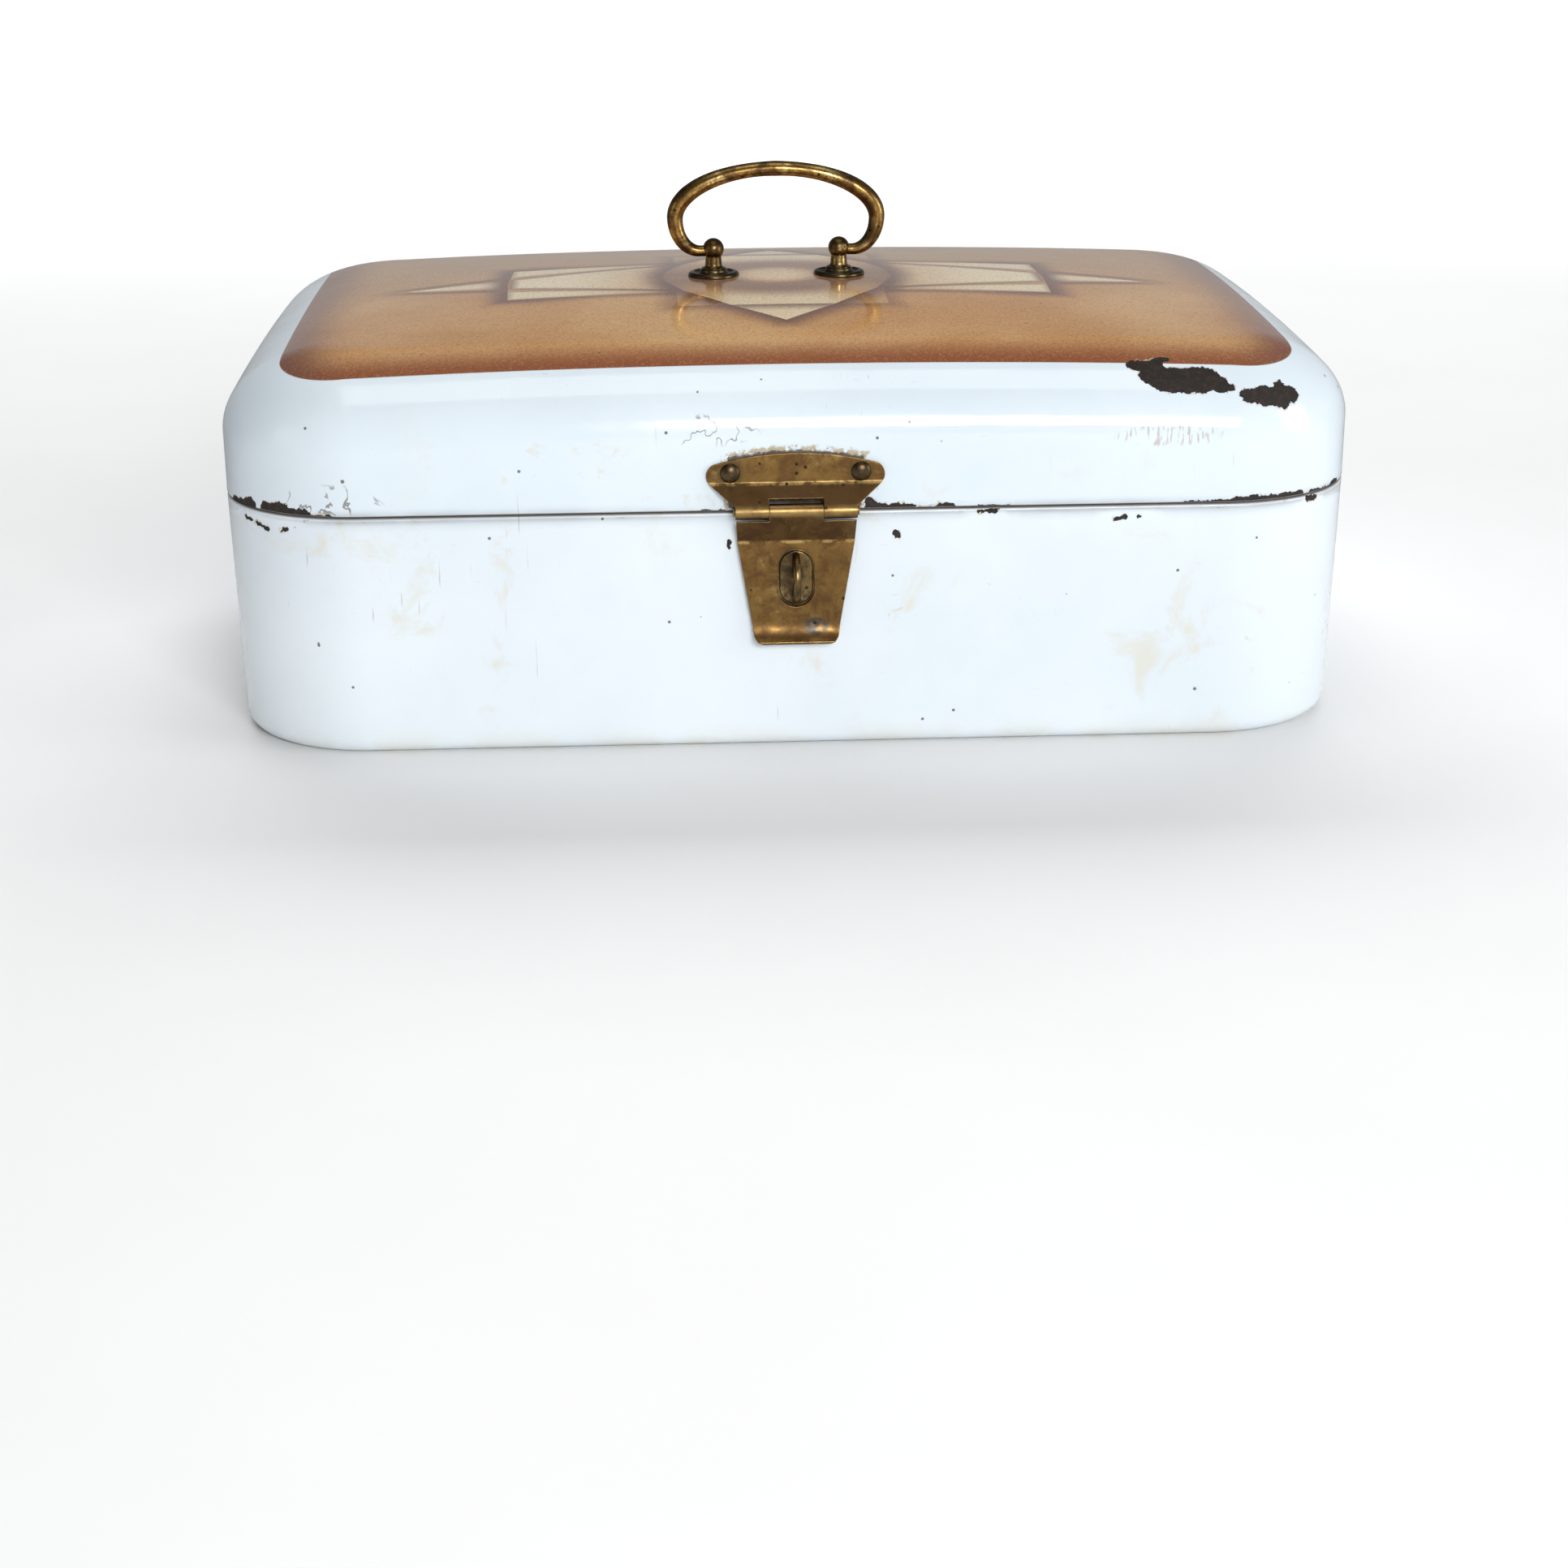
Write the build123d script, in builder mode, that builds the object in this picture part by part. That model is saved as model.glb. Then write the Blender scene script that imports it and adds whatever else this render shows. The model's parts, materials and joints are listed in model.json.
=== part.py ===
from build123d import *

import math
import os

# Enamelled steel food carrier: a pressed box under a hinged, domed lid, with a swinging brass bail handle on
# the lid and a brass hasp and staple at the front.
#
# Millimetres. The origin is the centre of the underside. +X runs to the right as seen from the hasp side, +Y
# points back to the hinges and +Z points up. Rest is lid shut, hasp down over its staple and bail upright.

# ---- driving dimensions --------------------------------------------------------------------------
LENGTH = 380.0
DEPTH = 250.0
PLAN_RADIUS = 48.0  # corner radius seen from above, at the seam
WALL = 1.0  # steel with its enamel on both sides
SEAM = 81.5  # height of the joint between box and lid
FOOT_INSET = 1.9  # how far the sides lean in between the seam and the underside
FOOT_RADIUS = 5.5
RIM_RADIUS = 1.0  # rounding of the box's upper edge
NECK_HEIGHT = 7.0  # the neck stands up inside the lid
NECK_INSET = 2.3  # outer face of the neck, inwards from the box's side
EDGE_ROUND = 0.4  # enamelled sheet edges

LID_GAP = 0.5  # shadow line between box and lid
LID_RISE = 46.7  # from the seam to the top's edges, before the crown
SHOULDER = 40.0  # how far in from the side the shoulder's curve reaches
SHOULDER_PRESS = 0.7  # the shoulder's height over its reach
CROWN = 9.6  # how much the top's middle stands above its edges

CLEAR = 0.02  # between pieces that sit on each other
HOLE_CLEAR = 0.1  # radial, round a rivet or a post in its hole
PIN_CLEAR = 0.05  # radial running clearance of a hinge pin and of the bail
KNUCKLE_GAP = 0.12  # end gap between hinge knuckles
SHEET = 1.0  # brass sheet of the hasp and the hinges
SHEET_LIFT = 0.06  # a sheet's back, out from the surface it is riveted to
RIVET_R = 1.5
HINGE_RIVET = (2.7, 1.0, 2.3, 0.8)  # head radius and height, tail radius and height
HASP_RIVET = (3.25, 1.2, 2.6, 1.0)

HASP_STANDOFF = 4.0  # hasp pin, out from the lid's side
HASP_PIN_RISE = 1.0  # above the seam
HASP_BARREL_R = 2.5
HASP_HALF = 19.9  # half width of the hasp's barrel
HASP_KNUCKLE_HALF = 8.8  # half width of the middle knuckle, which belongs to the flap
HASP_WINDOW = 5.2  # height of the plate's window over the middle knuckle
HASP_PIN_R = 0.9
HASP_PIN_HEAD = (1.5, 0.5)  # radius, thickness
HASP_PLATE_HALF = 33.5  # where the plate's edges would meet at its sides if they weren't rounded
HASP_PLATE_TOP = 19.5  # heights above the seam: top, side tips and fold of the plate
HASP_PLATE_TIP = 13.9
HASP_PLATE_FOLD = 9.9
HASP_PLATE_CORNER = 4.0
HASP_RIVET_X = 21.3
HASP_RIVET_RISE = 13.2
FLAP_GAP = 1.3  # between the flap's back and the box's side
FLAP_TOP = 2.0  # drops below the seam: full width, fold, start of the finger lip and foot
FLAP_FOLD = 9.0
FLAP_CURL = 36.8
FLAP_FOOT = 44.1
FLAP_HALF = 19.6  # half widths at the same places
FLAP_FOLD_HALF = 19.2
FLAP_CURL_HALF = 14.7
FLAP_FOOT_HALF = 13.7
FLAP_CORNER = 3.8
FLAP_CURL_R = 8.0
FLAP_CURL_TURN = 58.0
SLOT_LENGTH = 20.0
SLOT_WIDTH = 11.9

STAPLE_DROP = 22.0  # staple's middle, below the seam
STAPLE_REACH = 10.6  # how far the staple stands out from the box's side
STAPLE_HALF = 8.7
STAPLE_T = 2.4
STAPLE_ROUND = 1.0
STAPLE_SHANK_R = 1.2
STAPLE_SHANK_Y = 5.4
STAPLE_TAIL_R = 2.1
STAPLE_TAIL_T = 0.9
EYE_R = 2.7
EYE_REACH = 5.9
STAPLE_PLATE = (23.0, 15.2, 0.9)  # length, width, thickness
STAPLE_BOSS = (18.2, 10.9, 0.9)  # raised oval inside the flap's slot
STAPLE_BACKING = (18.0, 8.0, 0.8)

HINGE_X = 95.0
HINGE_HALF = 15.0
HINGE_KNUCKLE_HALF = 5.0
HINGE_LEAF = 17.0
HINGE_CORNER = 4.0
HINGE_BARREL_R = 2.0
HINGE_PIN_R = 0.95
HINGE_PIN_HEAD = (1.6, 0.7)
HINGE_RIVET_X = 9.5
HINGE_RIVET_RISE = 10.5

POST_X = 22.6
POST_SHANK_R = 2.0
POST_SHANK = 8.0  # below the rosette
POST_FOOT_R = 4.3
POST_FOOT_T = 0.5
POST_NECK_R = 2.95
POST_NECK_RISE = 2.7
ROSETTE_R = 9.2
ROSETTE_RIM = 1.4
ROSETTE_HOLLOW = 1.0  # height of the hollow ring's floor
ROSETTE_T = 2.2
ROSETTE_RING_R = 4.9
BALL_R = 3.8
BALL_RISE = 7.2  # ball's centre, above the rosette
BALL_CUT = -40.0  # where the ball runs into its neck, in degrees from level
PIVOT_RISE = 6.5  # bail's axis, above the rosette
WASHER_R = 6.0
WASHER_T = 0.8
NUT_FLAT_R = 3.5
NUT_T = 2.8
NUT_CHAMFER = 0.4

BAIL_END_R = 1.95
BAIL_END_WALL = 1.8  # left in the ball beyond the bail's end
BAIL_R = 3.0
BAIL_HALF = 36.2  # centre line, at its widest
BAIL_WIDEST = 11.6  # height of the widest place, above the pivot
BAIL_HEIGHT = 28.9
BAIL_BEND_X = 27.5  # where the bar starts to bend up
BAIL_SECTIONS = (  # share of the half path, half thickness in the bail's plane, half width across it
    (0, BAIL_END_R, BAIL_END_R),
    (0.12, 2.4, 2.4),
    (0.3, 2.9, BAIL_R),
    (0.7, 2.8, BAIL_R),
    (1, 2.7, BAIL_R),
)

# ---- derived places ------------------------------------------------------------------------------
LEAN = FOOT_INSET / SEAM  # of the box's side
DRAFT = math.degrees(math.atan(LEAN))
DRAFT_COS = math.cos(math.radians(DRAFT))
DRAFT_SIN = math.sin(math.radians(DRAFT))
FRONT = -DEPTH / 2
BACK = DEPTH / 2
LID_BASE = SEAM + LID_GAP
SPRING = SEAM + LID_RISE
INNER = -WALL - CLEAR  # inner face of a wall, from its outer face
SHEET_MID = SHEET_LIFT + SHEET / 2
SHEET_FACE = SHEET_LIFT + SHEET + CLEAR  # where a rivet's head sits on a sheet
HASP_Y = FRONT - HASP_STANDOFF
HASP_Z = SEAM + HASP_PIN_RISE
HINGE_Y = BACK + SHEET_LIFT + HINGE_BARREL_R
HINGE_Z = SEAM
HINGE_RIVETS = [(side * HINGE_X + spot, 0) for side in (-1, 1) for spot in (-HINGE_RIVET_X, HINGE_RIVET_X)]
STAPLE_SHANKS = [(0, STAPLE_SHANK_Y), (0, -STAPLE_SHANK_Y)]


def crown(x, y, inset=0.0):
    """Height of the lid's crowned top at a place, or of a surface lying inset below it."""
    return SPRING - inset + CROWN * (1 - (2 * x / LENGTH) ** 2) * (1 - (2 * y / DEPTH) ** 2)


ROSETTE_Z = crown(POST_X - ROSETTE_R, 0) + CLEAR
POST_FOOT_Z = ROSETTE_Z + ROSETTE_T + CLEAR
PIVOT_Z = ROSETTE_Z + ROSETTE_T + PIVOT_RISE
BALL_Z = ROSETTE_Z + ROSETTE_T + BALL_RISE
WASHER_Z = crown(POST_X + WASHER_R, WASHER_R, WALL) - CLEAR


def box_outline(inset):
    """The plan outline at the seam, drawn into the current sketch."""
    RectangleRounded(LENGTH - 2 * inset, DEPTH - 2 * inset, PLAN_RADIUS - inset)


def box_side(side, drop):
    """Plane on the box's leaning outer face, normal outwards: side -1 is the front and 1 the back."""
    y = side * (DEPTH / 2 - drop * LEAN)
    return Plane(origin=(0, y, SEAM - drop), x_dir=(-side, 0, 0), z_dir=(0, side * DRAFT_COS, -DRAFT_SIN))


def lid_side(side, rise):
    """Plane on the lid's upright side, normal outwards, at a height above the seam."""
    return Plane(origin=(0, side * DEPTH / 2, SEAM + rise), x_dir=(-side, 0, 0), z_dir=(0, side, 0))


def post_plane(x):
    """Plane through a post's axis: local X is the distance from the axis and local Y the height."""
    return Plane(origin=(x, 0, 0), x_dir=(1, 0, 0), z_dir=(0, -1, 0))


def tangent_point(start, centre, radius, turn):
    """Where a line from start touches a circle; turn 1 or -1 picks the side."""
    dy, dz = centre[0] - start[0], centre[1] - start[1]
    reach = math.hypot(dy, dz)
    angle = math.atan2(dz, dy) + turn * math.asin(radius / reach)
    length = math.sqrt(reach**2 - radius**2)
    return (start[0] + length * math.cos(angle), start[1] + length * math.sin(angle))


def cap_point(radius, height, base):
    """A point half way down a round cap that stands on base; with a negative height it hangs below."""
    ball = (radius**2 + height**2) / (2 * abs(height))
    half = math.asin(radius / ball) / 2
    return (ball * math.sin(half), base + height - math.copysign(ball * (1 - math.cos(half)), height))


os.makedirs("parts", exist_ok=True)

# ---- box -----------------------------------------------------------------------------------------
with BuildPart() as box_hollow:
    with BuildSketch(Plane.XY.offset(SEAM - WALL)):
        box_outline(WALL)
    extrude(amount=2 * WALL - SEAM, taper=DRAFT)
    fillet(box_hollow.edges().group_by(Axis.Z)[0], radius=FOOT_RADIUS - WALL)

# Leaning sides, a ledge for the lid, and an upright neck that the lid closes over.
with BuildPart() as body_shell:
    with BuildSketch(Plane.XY.offset(SEAM)):
        box_outline(0)
    extrude(amount=-SEAM, taper=DRAFT)
    fillet(body_shell.edges().group_by(Axis.Z)[0], radius=FOOT_RADIUS)
    fillet(body_shell.edges().group_by(Axis.Z)[-1], radius=RIM_RADIUS)
    add(box_hollow.part, mode=Mode.SUBTRACT)
    with BuildSketch(Plane.XY.offset(SEAM - 2 * WALL)):
        box_outline(NECK_INSET + WALL)
    extrude(amount=3 * WALL, mode=Mode.SUBTRACT)
    with BuildSketch(Plane.XY.offset(SEAM - WALL / 2)):
        box_outline(NECK_INSET)
        offset(amount=-WALL, mode=Mode.SUBTRACT)
    extrude(amount=WALL / 2 + NECK_HEIGHT)
    fillet(body_shell.edges().group_by(Axis.Z)[-1], radius=EDGE_ROUND)
    with BuildSketch(box_side(-1, STAPLE_DROP).offset(-3 * WALL)):
        with Locations(*STAPLE_SHANKS):
            Circle(STAPLE_SHANK_R + HOLE_CLEAR)
    extrude(amount=6 * WALL, mode=Mode.SUBTRACT)
    with BuildSketch(box_side(1, HINGE_RIVET_RISE).offset(-3 * WALL)):
        with Locations(*HINGE_RIVETS):
            Circle(RIVET_R + HOLE_CLEAR)
    extrude(amount=6 * WALL, mode=Mode.SUBTRACT)
body_shell.part.label = "body_shell"
export_step(body_shell.part, "parts/body_shell.step")


# ---- lid -----------------------------------------------------------------------------------------
def crown_face(inset):
    """The crowned top as one patch that reaches past the outline, stretched along Z as lid_form needs it."""
    reach_x, reach_y = LENGTH / 2 + 10, DEPTH / 2 + 10
    edge_x, edge_y = 1 - (2 * reach_x / LENGTH) ** 2, 1 - (2 * reach_y / DEPTH) ** 2
    columns = ((-reach_x, edge_x), (0, 2 - edge_x), (reach_x, edge_x))
    rows = ((-reach_y, edge_y), (0, 2 - edge_y), (reach_y, edge_y))
    net = [[(x, y, (SPRING - inset + CROWN * a * b) / SHOULDER_PRESS) for y, b in rows] for x, a in columns]
    return Face.make_bezier_surface(net)


def lid_form(inset):
    """The lid's outer form, or its hollow when inset: rounded while stretched, then pressed flatter."""
    tall = 2 * (SPRING + CROWN)
    with BuildPart() as form:
        with BuildSketch(Plane.XY.offset(LID_BASE / SHOULDER_PRESS)):
            box_outline(inset)
        extrude(amount=tall)
        extrude(crown_face(inset), amount=tall, dir=(0, 0, -1), mode=Mode.INTERSECT)
        fillet(form.faces().sort_by(Axis.Z)[-1].edges(), radius=SHOULDER - inset)
        scale(by=(1, 1, SHOULDER_PRESS), about=(0, 0, 0))
    return form.part


with BuildPart() as lid_shell:
    add(lid_form(0))
    add(lid_form(WALL), mode=Mode.SUBTRACT)
    fillet(lid_shell.edges().group_by(Axis.Z)[0], radius=EDGE_ROUND)
    with BuildSketch(Plane.XY.offset(SPRING)):
        with Locations((POST_X, 0), (-POST_X, 0)):
            Circle(POST_SHANK_R + HOLE_CLEAR)
    extrude(amount=2 * CROWN, mode=Mode.SUBTRACT)
    with BuildSketch(lid_side(-1, HASP_RIVET_RISE).offset(-3 * WALL)):
        with Locations((HASP_RIVET_X, 0), (-HASP_RIVET_X, 0)):
            Circle(RIVET_R + HOLE_CLEAR)
    extrude(amount=6 * WALL, mode=Mode.SUBTRACT)
    with BuildSketch(lid_side(1, HINGE_RIVET_RISE).offset(-3 * WALL)):
        with Locations(*HINGE_RIVETS):
            Circle(RIVET_R + HOLE_CLEAR)
    extrude(amount=6 * WALL, mode=Mode.SUBTRACT)
lid_shell.part.label = "lid_shell"
export_step(lid_shell.part, "parts/lid_shell.step")


# ---- rivets and pins -----------------------------------------------------------------------------
def make_rivets(name, plane, spots, form):
    """Rivets square to a wall: domed heads on the sheet outside it, peened tails inside."""
    head_r, head_h, tail_r, tail_h = form
    top, bottom = SHEET_FACE + head_h, INNER - tail_h
    with BuildPart() as rivets:
        for x, y in spots:
            foot = plane.from_local_coords((x, y, 0))
            with BuildSketch(Plane(origin=foot, x_dir=plane.x_dir, z_dir=-plane.y_dir)):
                with BuildLine():
                    ThreePointArc((0, top), cap_point(head_r, head_h, SHEET_FACE), (head_r, SHEET_FACE))
                    Polyline((head_r, SHEET_FACE), (RIVET_R, SHEET_FACE), (RIVET_R, INNER), (tail_r, INNER))
                    ThreePointArc((tail_r, INNER), cap_point(tail_r, -tail_h, INNER), (0, bottom))
                    Line((0, bottom), (0, top))
                make_face()
            revolve(axis=Axis(foot, plane.z_dir))
    rivets.part.label = name
    export_step(rivets.part, f"parts/{name}.step")


def make_pin(name, centre, radius, half, head):
    """A pin along X, with a rounded head just outside each end of its barrel."""
    head_r, head_t = head
    across = Plane(origin=centre, x_dir=(0, 1, 0), z_dir=(1, 0, 0))
    with BuildPart() as pin:
        with BuildSketch(across):
            Circle(radius)
        extrude(amount=half + head_t)
        with BuildSketch(across.offset(half + KNUCKLE_GAP)):
            Circle(head_r)
        extrude(amount=head_t)
        fillet(pin.edges().sort_by(Axis.X)[-1], radius=head_t / 2)
        mirror(about=across)
    pin.part.label = name
    export_step(pin.part, f"parts/{name}.step")


# ---- back hinges ---------------------------------------------------------------------------------
def make_hinge_leaf(name, x, up, knuckles, notches):
    """A leaf going up (1) or down (-1) from the pin; knuckles and notches are spans of X about its middle."""
    lean = 0 if up > 0 else LEAN * HINGE_LEAF
    with BuildPart() as leaf:
        with BuildSketch(Plane.YZ.offset(x)):
            with BuildLine():
                Line((BACK + SHEET_MID, HINGE_Z), (BACK + SHEET_MID - lean, HINGE_Z + up * HINGE_LEAF))
            trace(line_width=SHEET)
        extrude(amount=HINGE_HALF, both=True)
        with BuildSketch(Plane.XZ.offset(-BACK)):
            with Locations((x, HINGE_Z)):
                RectangleRounded(2 * HINGE_HALF, 2 * HINGE_LEAF - SHEET, HINGE_CORNER)
        extrude(amount=4 * SHEET, both=True, mode=Mode.INTERSECT)
        for low, high in notches:
            with Locations((x + (low + high) / 2, HINGE_Y, HINGE_Z)):
                Box(high - low, 4 * HINGE_BARREL_R, 2 * HINGE_BARREL_R + 4 * KNUCKLE_GAP, mode=Mode.SUBTRACT)
        for low, high in knuckles:
            with BuildSketch(Plane.YZ.offset(x + low)):
                with Locations((HINGE_Y, HINGE_Z)):
                    Circle(HINGE_BARREL_R)
            extrude(amount=high - low)
        with BuildSketch(Plane.YZ.offset(x)):
            with Locations((HINGE_Y, HINGE_Z)):
                Circle(HINGE_PIN_R + PIN_CLEAR)
        extrude(amount=2 * HINGE_HALF, both=True, mode=Mode.SUBTRACT)
        rivet_z = HINGE_Z + up * HINGE_RIVET_RISE
        with BuildSketch(Plane.XZ.offset(-BACK)):
            with Locations((x - HINGE_RIVET_X, rivet_z), (x + HINGE_RIVET_X, rivet_z)):
                Circle(RIVET_R + HOLE_CLEAR)
        extrude(amount=4 * SHEET, both=True, mode=Mode.SUBTRACT)
    leaf.part.label = name
    export_step(leaf.part, f"parts/{name}.step")


knuckle_low, knuckle_high = HINGE_KNUCKLE_HALF, HINGE_KNUCKLE_HALF + KNUCKLE_GAP
MIDDLE = [(-knuckle_low, knuckle_low)]
MIDDLE_NOTCH = [(-knuckle_high, knuckle_high)]
ENDS = [(-HINGE_HALF, -knuckle_high), (knuckle_high, HINGE_HALF)]
END_NOTCHES = [(-HINGE_HALF - SHEET, -knuckle_low), (knuckle_low, HINGE_HALF + SHEET)]
for side, hand in ((-1, "left"), (1, "right")):
    make_hinge_leaf(f"{hand}_hinge_box_leaf", side * HINGE_X, -1, ENDS, MIDDLE_NOTCH)
    make_hinge_leaf(f"{hand}_hinge_lid_leaf", side * HINGE_X, 1, MIDDLE, END_NOTCHES)
    make_pin(f"{hand}_hinge_pin", (side * HINGE_X, HINGE_Y, HINGE_Z), HINGE_PIN_R, HINGE_HALF, HINGE_PIN_HEAD)
make_rivets("hinge_box_rivets", box_side(1, HINGE_RIVET_RISE), HINGE_RIVETS, HINGE_RIVET)
make_rivets("hinge_lid_rivets", lid_side(1, HINGE_RIVET_RISE), HINGE_RIVETS, HINGE_RIVET)


# ---- hasp ----------------------------------------------------------------------------------------
def mirrored(right):
    """The left half of an outline, from its right half, in reverse order."""
    return [(-x, z) for x, z in reversed(right)]


def hasp_barrel():
    """The rolled barrel's section, drawn into the current sketch."""
    with Locations((HASP_Y, HASP_Z)):
        Circle(HASP_BARREL_R)
        Circle(HASP_PIN_R + PIN_CLEAR, mode=Mode.SUBTRACT)


# The plate lies flat on the lid, then slants out to the two outer knuckles.
plate_fold = (FRONT - SHEET_MID, SEAM + HASP_PLATE_FOLD)
plate_touch = tangent_point(plate_fold, (HASP_Y, HASP_Z), HASP_BARREL_R - SHEET / 2, -1)
plate_right = [
    (HASP_HALF, SEAM - HASP_BARREL_R),
    (HASP_HALF, SEAM + HASP_BARREL_R + 4 * KNUCKLE_GAP),
    (HASP_PLATE_HALF, SEAM + HASP_PLATE_TIP),
]
with BuildPart() as hasp_plate:
    with BuildSketch(Plane.YZ):
        with BuildLine():
            Polyline((FRONT - SHEET_MID, SEAM + HASP_PLATE_TOP + SHEET), plate_fold, plate_touch)
        trace(line_width=SHEET)
        hasp_barrel()
    extrude(amount=HASP_PLATE_HALF, both=True)
    with BuildSketch(Plane.XZ.offset(-FRONT)) as plate_outline:
        with BuildLine():
            Polyline(*plate_right)
            ThreePointArc(plate_right[-1], (0, SEAM + HASP_PLATE_TOP), mirrored(plate_right)[0])
            Polyline(*mirrored(plate_right))
            Line(mirrored(plate_right)[-1], plate_right[0])
        make_face()
        fillet(plate_outline.vertices().group_by(Axis.Y)[-1], radius=HASP_PLATE_CORNER)
    extrude(amount=3 * HASP_STANDOFF, both=True, mode=Mode.INTERSECT)
    with BuildSketch(Plane.XZ.offset(-FRONT)):
        with Locations((0, SEAM)):
            Rectangle(2 * (HASP_KNUCKLE_HALF + KNUCKLE_GAP), 2 * HASP_WINDOW)
    extrude(amount=3 * HASP_STANDOFF, both=True, mode=Mode.SUBTRACT)
    with BuildSketch(lid_side(-1, HASP_RIVET_RISE)):
        with Locations((HASP_RIVET_X, 0), (-HASP_RIVET_X, 0)):
            Circle(RIVET_R + HOLE_CLEAR)
    extrude(amount=HASP_STANDOFF, mode=Mode.SUBTRACT)
hasp_plate.part.label = "hasp_plate"
export_step(hasp_plate.part, "parts/hasp_plate.step")

for side, hand in ((-1, "left"), (1, "right")):
    spots = [(side * HASP_RIVET_X, 0)]
    make_rivets(f"{hand}_hasp_rivet", lid_side(-1, HASP_RIVET_RISE), spots, HASP_RIVET)
make_pin("hasp_pin", (0, HASP_Y, HASP_Z), HASP_PIN_R, HASP_HALF, HASP_PIN_HEAD)


def flap_point(drop):
    """A point on the flap's middle line, alongside the box's leaning side."""
    return (FRONT + drop * LEAN - FLAP_GAP - SHEET / 2, SEAM - drop)


def lip_point(turn):
    """A point on the finger lip's arc, turned outwards from where the flap starts to curl."""
    start = math.radians(DRAFT)
    end = math.radians(DRAFT - turn)
    y, z = flap_point(FLAP_CURL)
    return (
        y - FLAP_CURL_R * (math.cos(start) - math.cos(end)),
        z - FLAP_CURL_R * (math.sin(start) - math.sin(end)),
    )


# The flap folds in towards the box, is slotted for the staple, and curls out into a finger lip.
flap_touch = tangent_point(flap_point(FLAP_FOLD), (HASP_Y, HASP_Z), HASP_BARREL_R - SHEET / 2, 1)
flap_right = [
    (HASP_KNUCKLE_HALF, SEAM + 2 * HASP_BARREL_R),
    (HASP_KNUCKLE_HALF, SEAM - FLAP_TOP),
    (FLAP_HALF, SEAM - FLAP_TOP),
    (FLAP_FOLD_HALF, SEAM - FLAP_FOLD - SHEET),
    (FLAP_CURL_HALF, SEAM - FLAP_CURL),
    (FLAP_FOOT_HALF, SEAM - FLAP_FOOT),
]
with BuildPart() as hasp_flap:
    with BuildSketch(Plane.YZ):
        with BuildLine():
            Polyline(flap_touch, flap_point(FLAP_FOLD), flap_point(FLAP_CURL))
            ThreePointArc(flap_point(FLAP_CURL), lip_point(FLAP_CURL_TURN / 2), lip_point(FLAP_CURL_TURN))
        trace(line_width=SHEET)
        hasp_barrel()
    extrude(amount=HASP_HALF, both=True)
    with BuildSketch(Plane.XZ.offset(-FRONT)) as flap_outline:
        with BuildLine():
            Polyline(*flap_right, *mirrored(flap_right), close=True)
        make_face()
        fillet(flap_outline.vertices().group_by(Axis.Y)[0], radius=FLAP_CORNER)
    extrude(amount=3 * HASP_STANDOFF, both=True, mode=Mode.INTERSECT)
    with BuildSketch(box_side(-1, STAPLE_DROP)):
        SlotOverall(SLOT_LENGTH, SLOT_WIDTH, rotation=90)
    extrude(amount=2 * HASP_STANDOFF, mode=Mode.SUBTRACT)
hasp_flap.part.label = "hasp_flap"
export_step(hasp_flap.part, "parts/hasp_flap.step")

# ---- staple --------------------------------------------------------------------------------------
staple_face = box_side(-1, STAPLE_DROP)
staple_section = Plane(origin=staple_face.origin, x_dir=staple_face.z_dir, z_dir=(1, 0, 0))
eye_base = STAPLE_PLATE[2] + STAPLE_BOSS[2] + 2 * CLEAR
eye_hub = STAPLE_REACH - STAPLE_HALF
tail_plane = staple_face.offset(INNER - STAPLE_BACKING[2] - CLEAR)

with BuildPart() as staple:
    with BuildSketch(staple_section):
        with BuildLine():
            Polyline((eye_hub, STAPLE_HALF), (eye_base, STAPLE_HALF), (eye_base, -STAPLE_HALF))
            Line((eye_base, -STAPLE_HALF), (eye_hub, -STAPLE_HALF))
            ThreePointArc((eye_hub, -STAPLE_HALF), (STAPLE_REACH, 0), (eye_hub, STAPLE_HALF))
        make_face()
    extrude(amount=STAPLE_T / 2, both=True)
    fillet(staple.edges().filter_by(GeomType.CIRCLE), radius=STAPLE_ROUND)
    with BuildSketch(staple_section):
        with Locations((EYE_REACH, 0)):
            Circle(EYE_R)
    extrude(amount=STAPLE_T, both=True, mode=Mode.SUBTRACT)
    with BuildSketch(tail_plane):
        with Locations(*STAPLE_SHANKS):
            Circle(STAPLE_SHANK_R)
    extrude(amount=eye_base + STAPLE_BACKING[2] + WALL + 2 * CLEAR)
    with BuildSketch(tail_plane):
        with Locations(*STAPLE_SHANKS):
            Circle(STAPLE_TAIL_R)
    extrude(amount=-STAPLE_TAIL_T)
    fillet(staple.faces().sort_by(Axis.Y)[-2:].edges(), radius=STAPLE_TAIL_T / 2)
staple.part.label = "staple"
export_step(staple.part, "parts/staple.step")

# An oval plate with a raised middle that stands in the flap's slot.
with BuildPart() as staple_plate:
    with BuildSketch(staple_face.offset(CLEAR)):
        SlotOverall(STAPLE_PLATE[0], STAPLE_PLATE[1], rotation=90)
    extrude(amount=STAPLE_PLATE[2])
    with BuildSketch(staple_face.offset(CLEAR + STAPLE_PLATE[2])):
        SlotOverall(STAPLE_BOSS[0], STAPLE_BOSS[1], rotation=90)
    extrude(amount=STAPLE_BOSS[2])
    fillet(staple_plate.faces().sort_by(Axis.Y)[0].edges(), radius=STAPLE_BOSS[2] / 2)
    with BuildSketch(staple_face):
        with Locations(*STAPLE_SHANKS):
            Circle(STAPLE_SHANK_R + HOLE_CLEAR)
    extrude(amount=STAPLE_REACH, mode=Mode.SUBTRACT)
staple_plate.part.label = "staple_plate"
export_step(staple_plate.part, "parts/staple_plate.step")

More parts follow.
